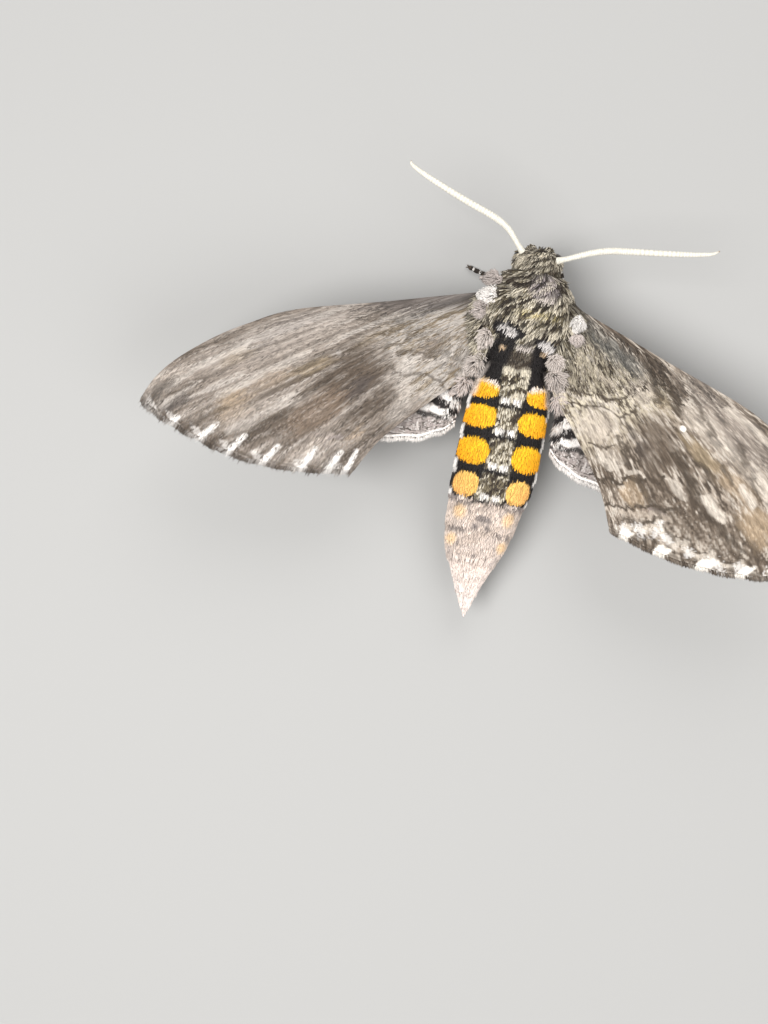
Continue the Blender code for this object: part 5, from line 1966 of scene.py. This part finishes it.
@dataclass
class Mouth:
    """Two scaled palps and the coiled tongue between them."""

    palp_bends: tuple = ((1.3, 7.9, 6.2), (1.4, 9.1, 6.0), (1.4, 10.1, 6.6), (1.35, 10.5, 7.8),
                         (1.25, 10.6, 9.0))
    palp_radii: tuple = (0.5, 0.7, 0.8, 0.7, 0.3)
    coil_centre: tuple = (8.9, 4.5)
    coil_radius: float = 1.5
    coil_pitch: float = 0.82
    coil_turns: float = 1.6
    coil_steps: int = 40
    coil_thick: float = 0.22
    seed: int = 90

    def build(self) -> None:
        """Makes the palps with their coats, and the tongue."""
        rng = np.random.default_rng(self.seed)
        for side in Side:
            tube = Tube(np.array(self.palp_bends) * (side.value, 1, 1), self.palp_radii)
            piece = tube.grid(f"palp_skin_{side.word}", 40, 18)
            # The palp's skin is a darker olive, as painted shade under its coat.
            set_tint(piece.data, PAINT.olive * 0.6)
            finish_piece(piece, BODY_PILE, "coat", f"palp_{side.word}")
            coat = tube.locks(900, 0.75, 0.17, 14, rng, lambda v, dice: BODY_MARKS.streaks(dice, (4, 4, 2)))
            finish_piece(coat.join(f"palp_coat_{side.word}"), HAIR_SCALES, "coat")
        self.tongue()

    def tongue(self) -> None:
        """The tongue, coiled in the plane of the moth's middle."""
        y, z = self.coil_centre
        line = [(0.0, y - 0.9, 7.9), (0.0, y - 1.35, 6.2)]
        for i in range(self.coil_steps + 1):
            turn = 2 * math.pi * self.coil_turns * i / self.coil_steps
            radius = self.coil_radius - self.coil_pitch * turn / (2 * math.pi)
            line.append((0.0, y - radius * math.cos(turn), z - radius * math.sin(turn)))
        tongue = Tube(np.array(line), (self.coil_thick, self.coil_thick), 70, 0.12, 3, 0.004, 60,
                      (1.0, 0.0, 0.0)).grid("tongue", 420, 12)
        set_tint(tongue.data, PAINT.tongue)
        finish_piece(tongue, TONGUE_HORN, "tongue", "proboscis")


@dataclass
class Legs:
    """Six scaled legs with ringed tarsi, spurs and claws."""

    joints: dict = field(default_factory=lambda: {
        "fore": ((2.6, 5.0, 3.7), (7.1, 3.0, 4.8), (5.3, 6.8, 1.5), (2.7, 11.6, 0.3)),
        "mid": ((2.8, 1.7, 3.1), (8.6, 0.6, 5.8), (12.2, -2.4, 1.5), (18.6, -6.6, 0.3)),
        "hind": ((2.5, -1.9, 3.1), (8.2, -4.0, 5.4), (10.8, -9.6, 1.5), (13.6, -17.2, 0.3)),
    })
    left_fore: tuple = ((5.6, 6.7, 1.5), (10.6, 8.1, 0.3))
    femur_radii: tuple = (0.55, 0.8, 0.72, 0.42)
    tibia_radii: tuple = (0.36, 0.56, 0.54, 0.42)
    spur_radii: tuple = (0.17, 0.15, 0.03)
    claw_radii: tuple = (0.1, 0.08, 0.02)
    tarsus_parts: int = 5
    level: float = 0.3
    seed: int = 100
    spur_places: dict = field(default_factory=lambda: {"fore": (), "mid": (0.93,), "hind": (0.55, 0.93)})

    def build(self) -> None:
        """Makes each leg."""
        for side in Side:
            for pair, joints in self.joints.items():
                places = [np.array((side.value * x, y, z)) for x, y, z in joints]
                if side is Side.LEFT and pair == "fore":
                    places[2:] = [np.array((-x, y, z)) for x, y, z in self.left_fore]
                self.leg(side, pair, places)

    def spines(self, piece: bpy.types.Object, lines: list, radii: tuple) -> None:
        """Joins small pointed tubes to a piece: its spurs or its claws.

        Args:
            piece: The piece.
            lines: The line of each tube.
            radii: How thick they are along it.
        """
        made = [Tube(np.array(bends), radii, floor=0.01).grid("spine", 10, 8) for bends in lines]
        bpy.ops.object.select_all(action="DESELECT")
        for spine in made:
            set_tint(spine.data, PAINT.bark * 0.8)
            spine.select_set(True)
        piece.select_set(True)
        bpy.context.view_layer.objects.active = piece
        bpy.ops.object.join()

    def spurs(self, pair: str, knee: Array, ankle: Array) -> list:
        """The lines of a tibia's spurs, which point down the leg and out to both sides.

        Args:
            pair: The pair that the leg is of.
            knee, ankle: Both ends of the tibia.

        Returns:
            The bends of each line.
        """
        ahead = (ankle - knee) / np.linalg.norm(ankle - knee)
        flat = np.cross(ahead, (0, 0, 1))
        flat /= np.linalg.norm(flat)
        found = []
        for share in self.spur_places[pair]:
            foot = knee + (ankle - knee) * share
            for hand in (-1, 1):
                way = ahead + flat * hand * 0.55
                found.append([foot + way * t for t in (0.0, 0.7, 1.35)])
        return found

    def claws(self, tip: Array, ahead: Array) -> list:
        """The lines of a foot's two hooked claws."""
        aside = np.array((-ahead[1], ahead[0], 0.0))
        return [[tip - ahead * 0.15, tip + ahead * 0.2 + aside * hand * 0.14 + (0, 0, 0.05),
                 tip + ahead * 0.42 + aside * hand * 0.22 - (0, 0, 0.16)] for hand in (-1, 1)]

    def leg(self, side: Side, pair: str, places: list[Array]) -> None:
        """One leg as three scaled lengths.

        Args:
            side, pair: Which leg it is.
            places: Its root, knee, ankle and tip.
        """
        root, knee, ankle, tip = places
        rng = np.random.default_rng(self.seed + 10 * side.value + len(pair))
        top = root + np.array((-0.3 * side.value, 0.0, 1.1))
        landing = ankle + (tip - ankle) * 0.22
        landing[2] = self.level
        thigh, shin, foot = knee - root, ankle - knee, tip - landing
        steps = self.tarsus_parts
        parts = (
            ("femur", [top, root + thigh * 0.1, root + thigh * 0.55, knee], self.femur_radii, self.plain,
             (420, 0.6, 0.15, 16), None),
            ("tibia", [knee, knee + shin * 0.33, knee + shin * 0.67, ankle], self.tibia_radii, self.plain,
             (420, 0.55, 0.15, 16), None),
            ("tarsus", [ankle, 0.5 * (ankle + landing), landing,
                        *(landing + foot * t / steps for t in range(1, steps + 1))],
             self.tarsus_radii(), self.ringed, (380, 0.3, 0.15, 6), 0.0),
        )
        for part, bends, radii, colour, hair, floor in parts:
            tube = Tube(np.array(bends), radii, floor=floor)
            piece = tube.grid(f"{part}_skin_{pair}_{side.word}", 60, 16)
            _, v = places_on(piece)
            # The leg's skin takes its coat's colours, darkened as painted shade under the coat.
            set_tint(piece.data, 0.75 * colour(v, dice_at(v * 40, v * 3, 80.0)))
            if part == "tibia":
                self.spines(piece, self.spurs(pair, knee, ankle), self.spur_radii)
            if part == "tarsus":
                self.spines(piece, self.claws(tip, foot / np.linalg.norm(foot)), self.claw_radii)
            finish_piece(piece, LEG_SCALES, "leg", f"{part}_{pair}_{side.word}")
            coat = tube.locks(*hair, rng, colour, 0.04, 0.93)
            if part == "tarsus":
                coat.roots[:, 2] = np.maximum(coat.roots[:, 2], 0.14)
                coat.normals[:, 2] = np.maximum(coat.normals[:, 2], 0.0)
                coat.lies[:, 2] = np.maximum(coat.lies[:, 2], -0.25)
            finish_piece(coat.join(f"{part}_coat_{pair}_{side.word}"), HAIR_SCALES, "leg")

    def tarsus_radii(self) -> tuple:
        """How thick the tarsus is: each of its parts swells towards its end."""
        steps = self.tarsus_parts * 4
        return tuple((0.42 if i % 4 in (2, 3) else 0.32) * (1 - 0.25 * i / steps) for i in range(steps + 1))

    def plain(self, v: Array, dice: Array) -> Array:
        """Grey-brown scales with cream among them."""
        return BODY_MARKS.streaks(dice, (2, 4, 4), (PAINT.cream, PAINT.brown, PAINT.umber))

    def ringed(self, v: Array, dice: Array) -> Array:
        """Dark scales with a white ring at the start of each part.

        Args:
            v: Places along the tarsus, from 0 to 1.
            dice: Three values from 0 to 1 for each place.

        Returns:
            One colour a row.
        """
        found = BODY_MARKS.streaks(dice, (1, 6), (PAINT.brown, PAINT.umber * 0.6))
        share = (v * self.tarsus_parts) % 1.0
        return over(found, PAINT.white, 1 - rise(share, 0.2, 0.3))


@dataclass
class Studio:
    """The pale floor, the soft lights and the camera at the photo's angle."""

    lamps: tuple = (("key", (-0.16, -0.1, 0.42), 0.3, 2.6), ("fill", (0.3, -0.18, 0.32), 0.35, 1.1),
                    ("rim", (0.05, 0.36, 0.3), 0.3, 0.9))
    floor_tone: tuple = (0.37, 0.365, 0.355, 1.0)
    room_strength: float = 0.35
    focal_px: float = 900.0
    width_px: float = 768.0
    height_px: float = 1024.0
    body_px: tuple = (526.0, 320.0)
    px_per_mm: float = 6.8
    lean: float = 11.6
    tilt: float = 8.0
    body_height: float = 11.0

    def build(self) -> None:
        """Makes the floor, lights, world and camera."""
        self.floor()
        self.lights()
        self.camera()

    def floor(self) -> None:
        """A plain pale floor."""
        bpy.ops.object.select_all(action="DESELECT")
        bpy.ops.mesh.primitive_plane_add(size=4.0)
        floor = bpy.context.object
        floor.name = "studio_floor"
        material = bpy.data.materials.new("pale_floor")
        material.use_nodes = True
        shader = material.node_tree.nodes["Principled BSDF"].inputs
        shader["Base Color"].default_value = self.floor_tone
        shader["Roughness"].default_value = 0.9
        floor.data.materials.append(material)

    def lights(self) -> None:
        """Soft lights from above, brightest behind the camera."""
        centre = STAND.vector(0.0, -10.0, 10.0)
        for name, place, size, power in self.lamps:
            data = bpy.data.lights.new(name, "AREA")
            data.shape = "DISK"
            data.size = size
            data.energy = power
            light = bpy.data.objects.new(name, data)
            bpy.context.scene.collection.objects.link(light)
            light.location = centre + Vector(place)
            light.rotation_mode = "QUATERNION"
            light.rotation_quaternion = (-Vector(place)).to_track_quat("-Z", "Y")
        world = bpy.data.worlds.new("soft_room")
        bpy.context.scene.world = world
        world.use_nodes = True
        back = world.node_tree.nodes["Background"].inputs
        back["Color"].default_value = (1.0, 1.0, 1.0, 1.0)
        back["Strength"].default_value = self.room_strength
        bpy.context.scene.view_settings.view_transform = "Standard"

    def camera(self) -> None:
        """The camera above and a little behind the moth, which leans in the frame as in the photo."""
        middle_x, middle_y = self.width_px / 2, self.height_px / 2
        seen = Vector((self.body_px[0] - middle_x, middle_y - self.body_px[1], -self.focal_px))
        seen.normalize()
        tilt, lean = math.radians(self.tilt), math.radians(self.lean)
        sight = Vector((0.0, math.sin(tilt), -math.cos(tilt)))
        distance = self.focal_px / self.px_per_mm / -seen.z
        place = Vector((0.0, 0.0, self.body_height)) - sight * distance
        right = seen.cross(Vector((0, 0, 1))).normalized()
        above = right.cross(seen)

        def drift(way: Vector) -> Vector:
            """Which way a small step moves in the picture.

            Args:
                way: The way of the step, as the camera sees it.

            Returns:
                The step in the picture.
            """
            start = seen * distance
            end = start + way * 0.001
            return Vector((end.x / -end.z - start.x / -start.z, end.y / -end.z - start.y / -start.z))

        steps = Matrix((drift(right), drift(above))).transposed()
        parts = steps.inverted() @ Vector((math.sin(lean), math.cos(lean)))
        ahead_seen = (right * parts.x + above * parts.y).normalized()
        ahead = Vector((0, 1, 0))
        ahead = (ahead - sight * ahead.dot(sight)).normalized()
        in_world = Matrix((sight, ahead, sight.cross(ahead))).transposed()
        in_camera = Matrix((seen, ahead_seen, seen.cross(ahead_seen))).transposed()
        turn = in_world @ in_camera.transposed()
        data = bpy.data.cameras.new("view")
        data.sensor_width = 36.0
        data.lens = self.focal_px / self.height_px * data.sensor_width
        data.clip_start = 0.005
        camera = bpy.data.objects.new("view", data)
        bpy.context.scene.collection.objects.link(camera)
        camera.matrix_world = Matrix.Translation(STAND.vector(*place)) @ turn.to_4x4()
        bpy.context.scene.camera = camera


def main() -> None:
    """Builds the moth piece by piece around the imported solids."""
    logging.basicConfig(level=logging.INFO, format="%(message)s")
    for thing in list(bpy.data.objects):
        bpy.data.objects.remove(thing)
    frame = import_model()
    STAND.find()
    LOG.info("%d solids, the moth's own origin is at %s", len(frame["nodes"]), STAND.shift)
    Studio().build()
    Body().build()
    RootHair().build()
    for side in Side:
        Wing(WingShape(side), ForewingMarkings(), "forewing", 160, 290, 16000, 1500).build()
        Wing(HindwingShape(side), HindwingMarkings(), "hindwing", 130, 150, 7000, 900, 0.968).build()
    Antennae().build()
    Eyes().build()
    Mouth().build()
    Legs().build()


if __name__ == "__main__":
    main()
